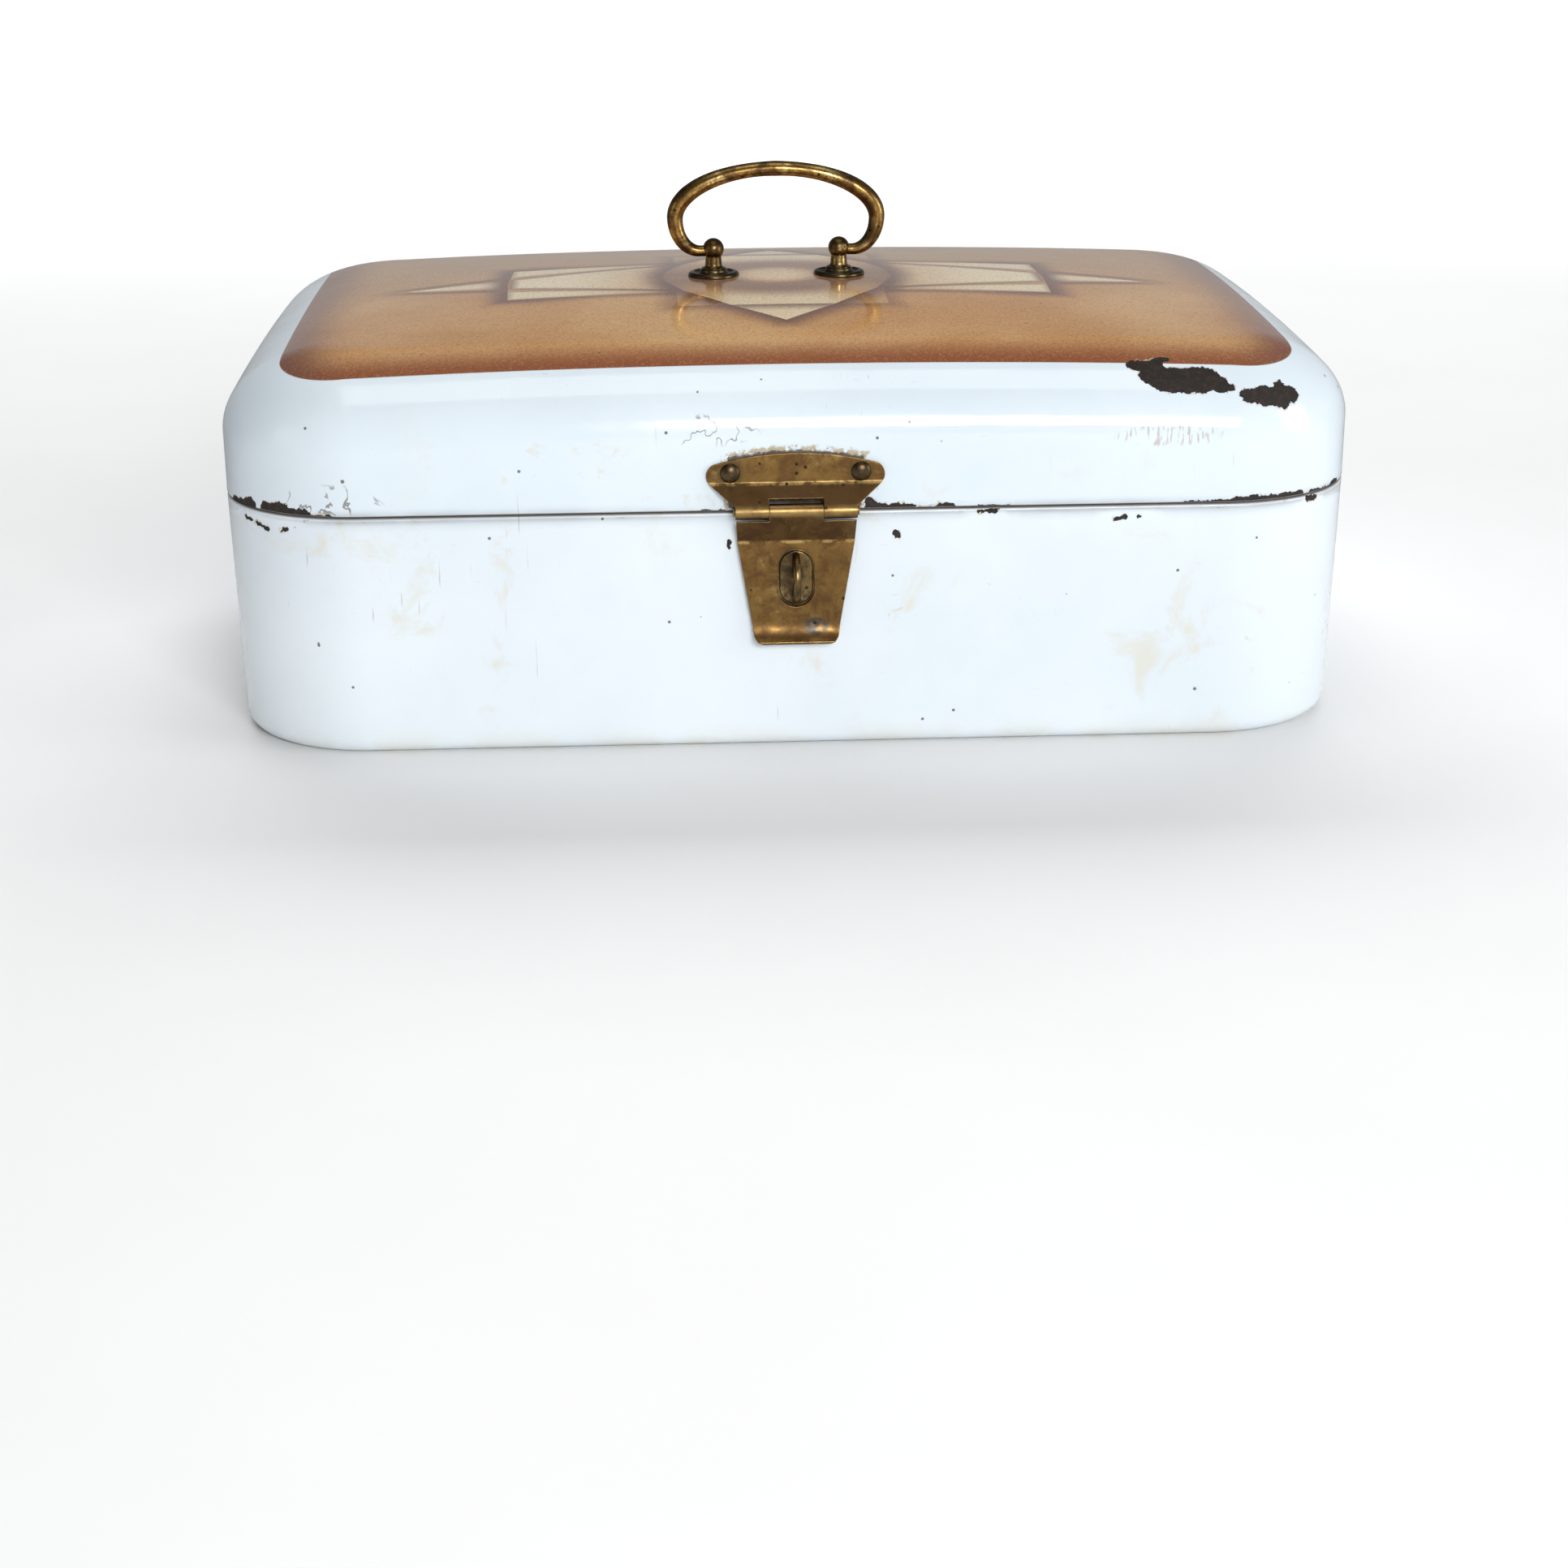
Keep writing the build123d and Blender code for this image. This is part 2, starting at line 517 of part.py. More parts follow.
with BuildPart() as staple_backing_plate:
    with BuildSketch(staple_face.offset(INNER)):
        SlotOverall(STAPLE_BACKING[0], STAPLE_BACKING[1], rotation=90)
        with Locations(*STAPLE_SHANKS):
            Circle(STAPLE_SHANK_R + HOLE_CLEAR, mode=Mode.SUBTRACT)
    extrude(amount=-STAPLE_BACKING[2])
staple_backing_plate.part.label = "staple_backing_plate"
export_step(staple_backing_plate.part, "parts/staple_backing_plate.step")


# ---- handle --------------------------------------------------------------------------------------
def make_post(name, x):
    """A ball-headed post: necked stem, shank through the lid, and a blind bore for the bail in its ball."""
    top, foot, tail = BALL_Z + BALL_R, POST_FOOT_Z, ROSETTE_Z - POST_SHANK
    cut = math.radians(BALL_CUT)
    ball_foot = (BALL_R * math.cos(cut), BALL_Z + BALL_R * math.sin(cut))
    flare = (POST_FOOT_R, foot + POST_FOOT_T)
    neck_foot = (POST_NECK_R, foot + POST_NECK_RISE)
    with BuildPart() as post:
        with BuildSketch(post_plane(x)):
            with BuildLine():
                Polyline((0, top), (0, tail), (POST_SHANK_R, tail), (POST_SHANK_R, foot))
                Polyline((POST_SHANK_R, foot), (POST_FOOT_R, foot), flare)
                Spline(flare, neck_foot, tangents=[(-1, 0), (0, 1)])
                Spline(neck_foot, ball_foot, tangents=[(0, 1), (-math.sin(cut), math.cos(cut))])
                ThreePointArc(ball_foot, (BALL_R, BALL_Z), (0, top))
            make_face()
        revolve(axis=Axis((x, 0, 0), (0, 0, 1)))
        out = math.copysign(1, x)
        with BuildSketch(Plane(origin=(x + out * (BAIL_END_WALL - BALL_R), 0, PIVOT_Z), z_dir=(out, 0, 0))):
            Circle(BAIL_END_R + PIN_CLEAR)
        extrude(amount=2 * BALL_R, mode=Mode.SUBTRACT)
    post.part.label = name
    export_step(post.part, f"parts/{name}.step")


def make_rosette(name, x):
    """A stamped rosette under a post: rounded rim, hollow ring and raised middle."""
    hole, top = POST_SHANK_R + HOLE_CLEAR, ROSETTE_Z + ROSETTE_T
    rim_x, rim_top = ROSETTE_R - ROSETTE_RIM, ROSETTE_Z + ROSETTE_RIM
    hollow = ((ROSETTE_R + ROSETTE_RING_R) / 2, ROSETTE_Z + ROSETTE_HOLLOW)
    with BuildPart() as rosette:
        with BuildSketch(post_plane(x)):
            with BuildLine():
                Polyline((ROSETTE_RING_R, top), (hole, top), (hole, ROSETTE_Z), (ROSETTE_R, ROSETTE_Z))
                Spline((ROSETTE_R, ROSETTE_Z), (rim_x, rim_top), tangents=[(0, 1), (-1, 0)])
                Spline((rim_x, rim_top), hollow, (ROSETTE_RING_R, top), tangents=[(-1, 0), (0, 1)])
            make_face()
        revolve(axis=Axis((x, 0, 0), (0, 0, 1)))
    rosette.part.label = name
    export_step(rosette.part, f"parts/{name}.step")


def make_washer(name, x):
    """The washer under the lid."""
    with BuildPart() as washer:
        with BuildSketch(Plane.XY.offset(WASHER_Z)):
            with Locations((x, 0)):
                Circle(WASHER_R)
                Circle(POST_SHANK_R + HOLE_CLEAR, mode=Mode.SUBTRACT)
        extrude(amount=-WASHER_T)
    washer.part.label = name
    export_step(washer.part, f"parts/{name}.step")


def make_nut(name, x):
    """The hexagon nut under the washer."""
    with BuildPart() as nut:
        with BuildSketch(Plane.XY.offset(WASHER_Z - WASHER_T - CLEAR)):
            with Locations((x, 0)):
                RegularPolygon(NUT_FLAT_R, 6, major_radius=False)
        extrude(amount=-NUT_T)
        chamfer(nut.edges().group_by(Axis.Z)[0], length=NUT_CHAMFER)
        with BuildSketch(Plane.XY.offset(WASHER_Z)):
            with Locations((x, 0)):
                Circle(POST_SHANK_R + CLEAR)
        extrude(amount=-2 * NUT_T, mode=Mode.SUBTRACT)
    nut.part.label = name
    export_step(nut.part, f"parts/{name}.step")


for side, hand in ((-1, "left"), (1, "right")):
    make_post(f"{hand}_post", side * POST_X)
    make_rosette(f"{hand}_rosette", side * POST_X)
    make_washer(f"{hand}_post_washer", side * POST_X)
    make_nut(f"{hand}_post_nut", side * POST_X)

# Half of the bail's centre line runs from a ball up to the middle of the grip.
widest_z = PIVOT_Z + BAIL_WIDEST
with BuildPart() as handle_bail:
    with BuildLine(Plane.XZ) as bail_path:
        EllipticalCenterArc(
            (BAIL_BEND_X, widest_z), BAIL_HALF - BAIL_BEND_X, BAIL_WIDEST, start_angle=-90, arc_size=90
        )
        EllipticalCenterArc((0, widest_z), BAIL_HALF, BAIL_HEIGHT - BAIL_WIDEST, start_angle=0, arc_size=90)
    for share, across, along in BAIL_SECTIONS:
        spot = bail_path.wire().location_at(share)
        section = Plane(origin=spot.position, x_dir=(0, 1, 0), z_dir=bail_path.wire().tangent_at(share))
        with BuildSketch(section):
            Ellipse(along, across)
    sweep(path=bail_path.wire(), multisection=True)
    stub_x = POST_X - BALL_R + BAIL_END_WALL + PIN_CLEAR
    with BuildSketch(Plane(origin=(BAIL_BEND_X, 0, PIVOT_Z), z_dir=(-1, 0, 0))):
        Circle(BAIL_END_R)
    extrude(amount=BAIL_BEND_X - stub_x)
    mirror(about=Plane.YZ)
handle_bail.part.label = "handle_bail"
export_step(handle_bail.part, "parts/handle_bail.step")
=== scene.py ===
import json
import math

import bmesh
import bpy
import numpy as np
from mathutils import Matrix, Vector, noise


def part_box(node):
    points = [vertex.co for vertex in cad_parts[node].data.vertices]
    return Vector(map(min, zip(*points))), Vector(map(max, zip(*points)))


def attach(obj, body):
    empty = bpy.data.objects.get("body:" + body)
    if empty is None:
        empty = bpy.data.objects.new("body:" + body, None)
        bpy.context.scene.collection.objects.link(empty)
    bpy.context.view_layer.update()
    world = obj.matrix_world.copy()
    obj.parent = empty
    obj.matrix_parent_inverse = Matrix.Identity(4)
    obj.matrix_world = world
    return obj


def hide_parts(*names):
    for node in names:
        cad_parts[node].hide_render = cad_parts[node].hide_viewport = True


# Metres, in the frame's own axes. The CAD bodies stay where they are. The two enamelled pressings are
# rebuilt as finer sheets with chips knocked out of them, and every brass and steel piece keeps its CAD shape
# under a worn material.
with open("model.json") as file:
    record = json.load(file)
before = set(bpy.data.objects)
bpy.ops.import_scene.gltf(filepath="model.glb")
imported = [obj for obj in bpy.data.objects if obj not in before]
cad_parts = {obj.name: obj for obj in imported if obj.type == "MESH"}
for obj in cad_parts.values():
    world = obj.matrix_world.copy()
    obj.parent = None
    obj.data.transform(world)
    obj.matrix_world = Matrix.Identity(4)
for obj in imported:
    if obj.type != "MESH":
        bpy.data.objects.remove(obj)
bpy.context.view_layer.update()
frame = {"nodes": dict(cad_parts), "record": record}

# ---- sizes ----------------------------------------------------------------------------------------------
MM = 0.001
PLAN_RADIUS = 48 * MM
WALL = 1.0 * MM
SHOULDER = 40 * MM
SHOULDER_PRESS = 0.7
CROWN = 9.6 * MM
FOOT_INSET = 1.9 * MM
FOOT_RADIUS = 5.5 * MM
RIM_RADIUS = 1.0 * MM
NECK_INSET = 2.3 * MM
EDGE_ROUND = 0.4 * MM
STEP = 4 * MM  # mesh spacing on the pressings
CORNER_STEPS = 22  # mesh columns round each corner of the plan
SHOULDER_ROWS, CROWN_ROWS, SKIRT_ROWS = 25, 4, 7
SIDE_ROWS, FOOT_ROWS, RIM_ROWS, FLOOR_ROWS = 20, 8, 5, 7
SHOULDER_PROBES = 161  # samples along each shoulder, to find where it meets the crown
CHIP_DEPTH = 0.3 * MM  # thickness of the enamel
CHIP_START, CHIP_SLOPE = -0.2, 0.5  # millimetres: where a chip's edge begins to sink, and over what width
NO_CHIP = -4.0  # millimetres; stored on vertices with no chip near them

lid_low, lid_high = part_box("lid_shell")
HALF_X, HALF_Y = lid_high[0], lid_high[1]
SPRING = lid_high[2] - CROWN
LID_BASE = lid_low[2]
SEAM = LID_BASE - 0.5 * MM
NECK_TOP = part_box("body_shell")[1][2]
FLAT_X, FLAT_Y = HALF_X - PLAN_RADIUS, HALF_Y - PLAN_RADIUS


def crown(x, y):
    """Height of the lid's crowned top, before its shoulder is rounded."""
    return SPRING + CROWN * (1 - (x / HALF_X) ** 2) * (1 - (y / HALF_Y) ** 2)


def shoulder(foot, inward, inset):
    """Where a rounded shoulder springs from and how far in it reaches, from outline feet and inward ways."""
    radius = SHOULDER - inset
    t = np.linspace(0, radius, SHOULDER_PROBES)
    x = foot[:, 0, None] + inward[:, 0, None] * t
    y = foot[:, 1, None] + inward[:, 1, None] * t
    room = (crown(x, y) - inset) / SHOULDER_PRESS - np.sqrt(radius**2 - (radius - t) ** 2)
    return room.min(axis=1), t[room.argmin(axis=1)]


def lid_height(x, y):
    """Height of the finished lid's outer face at places given as two arrays."""
    ax, ay = np.abs(x), np.abs(y)
    cx, cy = np.minimum(ax, FLAT_X), np.minimum(ay, FLAT_Y)
    side = (HALF_X - ax) < (HALF_Y - ay)
    corner = (ax > FLAT_X) & (ay > FLAT_Y)
    out_x = np.where(corner, ax - cx, side * 1.0)
    out_y = np.where(corner, ay - cy, 1.0 - side)
    reach = np.maximum(np.hypot(out_x, out_y), 1e-9)
    out_x, out_y = out_x / reach, out_y / reach
    depth = np.where(corner, PLAN_RADIUS - reach, np.where(side, HALF_X - ax, HALF_Y - ay))
    foot = np.stack([ax + out_x * depth, ay + out_y * depth], axis=1)
    spring, touch = shoulder(foot, -np.stack([out_x, out_y], axis=1), 0)
    curve = SHOULDER_PRESS * (spring + np.sqrt(np.maximum(SHOULDER**2 - (SHOULDER - depth) ** 2, 0)))
    return np.where(depth < touch, curve, crown(x, y))


# ---- meshes ---------------------------------------------------------------------------------------------
def plan_points():
    """Corner centres and outward directions, anticlockwise round the plan outline from the right side."""
    centres, outs = [], []
    nx, ny = round(2 * FLAT_X / STEP), round(2 * FLAT_Y / STEP)
    for turn, (cx, cy), count in (
        (0, (1, -1), ny),
        (1, (1, 1), nx),
        (2, (-1, 1), ny),
        (3, (-1, -1), nx),
    ):
        angle = turn * math.pi / 2
        out = (round(math.cos(angle)), round(math.sin(angle)))
        start = np.array([cx * FLAT_X, cy * FLAT_Y])
        along = np.array([-out[1] * 2 * FLAT_X, out[0] * 2 * FLAT_Y])
        for i in range(count + 1):
            centres.append(start + along * i / count)
            outs.append(out)
        for i in range(1, CORNER_STEPS):
            a = angle + math.pi / 2 * i / CORNER_STEPS
            centres.append(start + along)
            outs.append((math.cos(a), math.sin(a)))
    return np.array(centres), np.array(outs, dtype=float), nx, ny


CENTRES, OUTS, COUNT_X, COUNT_Y = plan_points()


def ring(inset, z):
    """One closed row of points at an inset from the seam's outline."""
    xy = CENTRES + OUTS * (PLAN_RADIUS - np.asarray(inset, dtype=float).reshape(-1, 1))
    return np.column_stack([xy, np.broadcast_to(z, len(xy))])


def cap(height):
    """A grid of points over the plan's middle, to close a stack of rings whose last inset is the radius."""
    xs = np.linspace(-FLAT_X, FLAT_X, COUNT_X + 1)
    ys = np.linspace(-FLAT_Y, FLAT_Y, COUNT_Y + 1)
    grid_x, grid_y = np.meshgrid(xs, ys, indexing="ij")
    return np.stack([grid_x, grid_y, np.broadcast_to(height(grid_x, grid_y), grid_x.shape)], axis=2)


def sheet(name, rings, first_cap, last_cap):
    """A closed pressing: rings from the first cap round the edge to the last cap, merged where they meet."""
    around = len(CENTRES)
    points = [tuple(p) for row in rings for p in row]
    faces = []
    for i in range(len(rings) - 1):
        for j in range(around):
            k = (j + 1) % around
            faces.append((i * around + j, i * around + k, (i + 1) * around + k, (i + 1) * around + j))
    for grid, flip in ((first_cap, True), (last_cap, False)):
        base = len(points)
        points += [tuple(p) for row in grid for p in row]
        for i in range(COUNT_X):
            for j in range(COUNT_Y):
                a = base + i * (COUNT_Y + 1) + j
                quad = (a, a + COUNT_Y + 1, a + COUNT_Y + 2, a + 1)
                faces.append(quad[::-1] if flip else quad)
    mesh = bpy.data.meshes.new(name)
    mesh.from_pydata(points, [], faces)
    bm = bmesh.new()
    bm.from_mesh(mesh)
    bmesh.ops.remove_doubles(bm, verts=bm.verts, dist=0.01 * MM)
    bmesh.ops.dissolve_degenerate(bm, edges=bm.edges, dist=0.005 * MM)
    bmesh.ops.recalc_face_normals(bm, faces=bm.faces)
    bm.to_mesh(mesh)
    bm.free()
    piece = bpy.data.objects.new(name, mesh)
    bpy.context.scene.collection.objects.link(piece)
    mesh.shade_smooth()
    return piece


def shoulder_rings(inset):
    """Rings of the lid's skirt top, shoulder and crown edge, from the side in to the plan's middle."""
    foot = CENTRES + OUTS * (PLAN_RADIUS - inset)
    spring, touch = shoulder(foot, -OUTS, inset)
    radius = SHOULDER - inset
    rings = []
    for share in np.linspace(0, 1, SHOULDER_ROWS):
        angle = share * np.arccos(1 - touch / radius)
        reach = inset + radius * (1 - np.cos(angle))
        rings.append(ring(reach, SHOULDER_PRESS * (spring + radius * np.sin(angle))))
    for share in np.linspace(0, 1, CROWN_ROWS)[1:]:
        row = ring(inset + touch + (PLAN_RADIUS - inset - touch) * share, 0)
        row[:, 2] = crown(row[:, 0], row[:, 1]) - inset
        rings.append(row)
    return rings


def skirt(inset, top):
    """Rings up the lid's upright side, from the rounded lower edge to just under the shoulder."""
    low = ring(inset, LID_BASE + EDGE_ROUND)
    return [low + (top - low) * i / SKIRT_ROWS for i in range(SKIRT_ROWS)]


def lid_sheet():
    """The lid: inner side, rounded lower edge, outer side."""
    inner, outer = shoulder_rings(WALL), shoulder_rings(0)
    edge = [ring(WALL - EDGE_ROUND * 0.3, LID_BASE + EDGE_ROUND * 0.3), ring(WALL - EDGE_ROUND, LID_BASE)]
    edge += [ring(EDGE_ROUND, LID_BASE), ring(EDGE_ROUND * 0.3, LID_BASE + EDGE_ROUND * 0.3)]
    rings = inner[::-1] + skirt(WALL, inner[0])[::-1] + edge + skirt(0, outer[0]) + outer
    return sheet("lid_pressing", rings, cap(lambda x, y: crown(x, y) - WALL), cap(crown))


def quarter(inset, z, radius, start, steps):
    """Insets and heights along a quarter circle; start is in quarter turns, and insets grow inwards."""
    angles = (start + np.linspace(0, 1, steps + 1)) * math.pi / 2
    return [(inset - radius * math.cos(a), z + radius * math.sin(a)) for a in angles]


def box_sheet():
    """The box: outer side, rim, ledge, neck, inner side and floor."""

    def lean(z):
        return FOOT_INSET * (SEAM - z) / SEAM

    side_low, side_high = FOOT_RADIUS, SEAM - RIM_RADIUS
    inner_low, inner_high = FOOT_RADIUS, SEAM - WALL
    neck_in = NECK_INSET + WALL
    profile = [(PLAN_RADIUS - i * 5 * MM, 0) for i in range(FOOT_ROWS)]
    profile += quarter(FOOT_INSET + FOOT_RADIUS, FOOT_RADIUS, FOOT_RADIUS, -1, FOOT_ROWS)
    profile += [(lean(z), z) for z in np.linspace(side_low, side_high, SIDE_ROWS)[1:]]
    profile += quarter(RIM_RADIUS, SEAM - RIM_RADIUS, RIM_RADIUS, 0, RIM_ROWS)
    profile += [(NECK_INSET, SEAM)]
    profile += [(NECK_INSET, NECK_TOP - EDGE_ROUND)]
    profile += [(NECK_INSET + EDGE_ROUND * 0.3, NECK_TOP - EDGE_ROUND * 0.3)]
    profile += [(NECK_INSET + EDGE_ROUND, NECK_TOP), (neck_in - EDGE_ROUND, NECK_TOP)]
    profile += [(neck_in, NECK_TOP - EDGE_ROUND), (neck_in, SEAM - WALL)]
    radius = FOOT_RADIUS - WALL
    floor_edge = FOOT_INSET + FOOT_RADIUS
    profile += [(WALL + lean(z), z) for z in np.linspace(inner_high, inner_low, SIDE_ROWS)]
    profile += quarter(FOOT_INSET + WALL + radius, FOOT_RADIUS, radius, -1, FOOT_ROWS)[::-1][1:]
    floor_width = PLAN_RADIUS - floor_edge
    profile += [(floor_edge + floor_width * i / FLOOR_ROWS, WALL) for i in range(1, FLOOR_ROWS + 1)]
    rings = [ring(inset, z) for inset, z in profile]
    return sheet("box_pressing", rings, cap(lambda x, y: 0 * x), cap(lambda x, y: 0 * x + WALL))


# ---- chips ----------------------------------------------------------------------------------------------
def on_lid(x, y):
    """A point on the lid's outer face, in millimetres from the middle."""
    return Vector((x * MM, y * MM, float(lid_height(np.array([x * MM]), np.array([y * MM]))[0])))


def on_edge(x, z):
    """A point on the front outline at a height in millimetres above the seam, following the corners."""
    over = abs(x) * MM - FLAT_X
    drop = PLAN_RADIUS - math.sqrt(PLAN_RADIUS**2 - over**2) if over > 0 else 0
    return Vector((x * MM, drop - HALF_Y, SEAM + z * MM))


# Each chip is a run between two points with a half width in millimetres.
LID_CHIPS = [
    (on_lid(112.0, -110.6), on_lid(119.0, -111.0), 2.7),
    (on_lid(119.0, -108.8), on_lid(122.5, -107.8), 1.5),
    (on_lid(117.5, -114.0), on_lid(121.0, -116.0), 4.4),
    (on_lid(123.0, -115.8), on_lid(134.5, -115.2), 5.2),
    (on_lid(135.0, -115.6), on_lid(139.5, -117.0), 3.2),
    (on_lid(139.0, -117.2), on_lid(143.0, -117.7), 1.4),
    (on_lid(148.5, -119.3), on_lid(153.0, -118.9), 2.7),
    (on_lid(154.0, -118.3), on_lid(160.0, -116.8), 3.7),
    (on_lid(159.5, -116.0), on_lid(163.3, -114.6), 3.1),
    (on_lid(159.0, -114.3), on_lid(160.3, -113.2), 1.3),
    (on_edge(-185.5, 0.6), on_edge(-181.0, 1.0), 1.5),
    (on_edge(-180.5, 1.2), on_edge(-178.0, 1.6), 2.0),
    (on_edge(-173.0, 1.4), on_edge(-166.5, 1.6), 2.3),
    (on_edge(-165.0, 1.0), on_edge(-159.5, 0.8), 1.9),
    (on_edge(-158.0, 0.3), on_edge(-151.0, 0.3), 0.9),
    (on_edge(24.0, 0.6), on_edge(38.0, 0.6), 1.5),
    (on_edge(24.0, 2.6), on_edge(25.0, 2.0), 1.6),
    (on_edge(47.0, 0.7), on_edge(51.0, 0.7), 1.3),
    (on_edge(60.0, 0.4), on_edge(70.0, 0.4), 0.6),
    (on_edge(-30.0, 0.4), on_edge(-24.0, 0.4), 0.7),
    (on_edge(128.0, 0.2), on_edge(145.0, 0.5), 0.9),
    (on_edge(145.0, 0.8), on_edge(152.0, 1.1), 1.4),
    (on_edge(154.0, 1.0), on_edge(168.0, 0.8), 1.3),
    (on_edge(172.0, 0.6), on_edge(184.0, 0.8), 1.0),
]
BOX_CHIPS = [
    (on_edge(105.0, -4.3), on_edge(108.5, -4.0), 0.8),
    (on_edge(112.5, -3.8), on_edge(113.5, -3.8), 0.5),
    (on_edge(33.0, -8.0), on_edge(33.5, -9.0), 0.8),
    (on_edge(-22.0, -9.5), on_edge(-21.8, -12.0), 0.7),
    (on_edge(-181.0, -3.4), on_edge(-178.5, -4.0), 0.6),
    (on_edge(-177.0, -4.4), on_edge(-173.0, -5.6), 0.8),
    (on_edge(-168.0, -5.4), on_edge(-166.0, -4.6), 0.6),
    (on_edge(171.0, -1.2), on_edge(174.0, -1.6), 1.0),
    (on_edge(177.0, -34.0), on_edge(177.5, -36.0), 0.7),
    (on_edge(60.0, -1.1), on_edge(66.0, -1.0), 0.6),
]


def off_run(point, start, end):
    """Distance from a point to the run between two others."""
    run = end - start
    share = min(max((point - start).dot(run) / run.length_squared, 0), 1)
    return (point - start - run * share).length


def chip_value(point, chips):
    """How far inside a chip a point is, in millimetres, with a ragged edge; negative outside."""
    best = max(half - off_run(point, start, end) / MM for start, end, half in chips)
    if best > NO_CHIP:
        rough = noise.noise(point * 330) * 0.9 + noise.noise(point * 1000) * 0.7
        rough += noise.noise(point * 2400) * 0.45
        spikes = noise.noise(Vector((point.x * 1300, point.y * 700, point.z * 160)))
        best += (rough + spikes * 0.6) * (0.62 if best > -1.8 else 0.3)
    return best


def faces_out(place, normal):
    """Whether a vertex or face is on the outer face: its normal points away from the middle of the box."""
    return normal.dot(place - Vector((0, 0, SEAM * 0.5))) > 0


def refine(bm, chips, near=3.2 * MM, narrowing=0.6, passes=4):
    """Splits the outer faces round the chips until they are fine enough to carry the chips' edges."""
    for level in range(passes):
        bm.normal_update()
        reach = near * narrowing**level
        picked = set()
        for face in bm.faces:
            centre = face.calc_center_median()
            if not faces_out(centre, face.normal):
                continue
            if any(off_run(centre, start, end) < half * MM + reach for start, end, half in chips):
                picked.update(face.edges)
        bmesh.ops.subdivide_edges(bm, edges=list(picked), cuts=1, use_grid_fill=True)


def settle_on_lid(bm, lowest=22 * MM, snap=0.3 * MM):
    """Puts split vertices of the outer shoulder back on its true curve, down to a depth below the crown."""
    picked = [v for v in bm.verts if v.co.z > SPRING - lowest]
    x = np.array([v.co.x for v in picked])
    y = np.array([v.co.y for v in picked])
    heights = lid_height(np.clip(x, -HALF_X, HALF_X), np.clip(y, -HALF_Y, HALF_Y))
    for vertex, z in zip(picked, heights):
        if abs(vertex.co.z - z) < snap:
            vertex.co.z = z


def knock_out(piece, chips, follow=None):
    """Sinks chips into a pressing's outer face; stores each vertex's depth in a chip and its side."""
    mesh = piece.data
    bm = bmesh.new()
    bm.from_mesh(mesh)
    refine(bm, chips)
    if follow:
        follow(bm)
    depth_layer = bm.verts.layers.float.new("chip")
    side_layer = bm.verts.layers.float.new("outer")
    bm.normal_update()
    sunk = []
    for vertex in bm.verts:
        outer = faces_out(vertex.co, vertex.normal)
        value = chip_value(vertex.co, chips) if outer else NO_CHIP
        vertex[depth_layer] = max(value, NO_CHIP)
        vertex[side_layer] = 1.0 if outer else 0.0
        if value > CHIP_START:
            sunk.append((vertex, vertex.normal.copy(), min((value - CHIP_START) / CHIP_SLOPE, 1)))
    for vertex, normal, share in sunk:
        grain = 0.75 + 0.5 * noise.noise(vertex.co * 3000)
        vertex.co -= normal * CHIP_DEPTH * share * grain
    bmesh.ops.triangulate(bm, faces=[f for f in bm.faces if len(f.verts) > 4])
    bm.to_mesh(mesh)
    bm.free()
    mesh.shade_smooth()


# ---- material kit ---------------------------------------------------------------------------------------
class Value:
    """A node socket that can be used in arithmetic."""

    def __init__(self, tree, socket):
        self.tree, self.socket = tree, socket

    def op(self, kind, *others, clamp=False):
        node = self.tree.nodes.new("ShaderNodeMath")
        node.operation = kind
        node.use_clamp = clamp
        for slot, value in zip(node.inputs, (self, *others)):
            plug(self.tree, value, slot)
        return Value(self.tree, node.outputs[0])

    def __add__(self, other):
        return self.op("ADD", other)

    def __sub__(self, other):
        return self.op("SUBTRACT", other)

    def __mul__(self, other):
        return self.op("MULTIPLY", other)

    def __truediv__(self, other):
        return self.op("DIVIDE", other)

    def larger(self, other):
        return self.op("MAXIMUM", other)

    def smaller(self, other):
        return self.op("MINIMUM", other)

    def size(self):
        return self.op("ABSOLUTE")

    def ramp(self, low, high):
        """Rises smoothly from 0 at low to 1 at high; falls when low is the larger."""
        node = self.tree.nodes.new("ShaderNodeMapRange")
        node.interpolation_type = "SMOOTHSTEP"
        flip = low > high
        plug(self.tree, self, node.inputs["Value"])
        node.inputs["From Min"].default_value = min(low, high)
        node.inputs["From Max"].default_value = max(low, high)
        node.inputs["To Min"].default_value = 1.0 if flip else 0.0
        node.inputs["To Max"].default_value = 0.0 if flip else 1.0
        return Value(self.tree, node.outputs["Result"])


def plug(tree, value, slot):
    """Connects a Value to an input, or sets the input to a number or colour."""
    if isinstance(value, Value):
        tree.links.new(value.socket, slot)
    elif isinstance(value, tuple) and len(value) == 3 and slot.type == "RGBA":
        slot.default_value = (*value, 1.0)
    else:
        slot.default_value = value


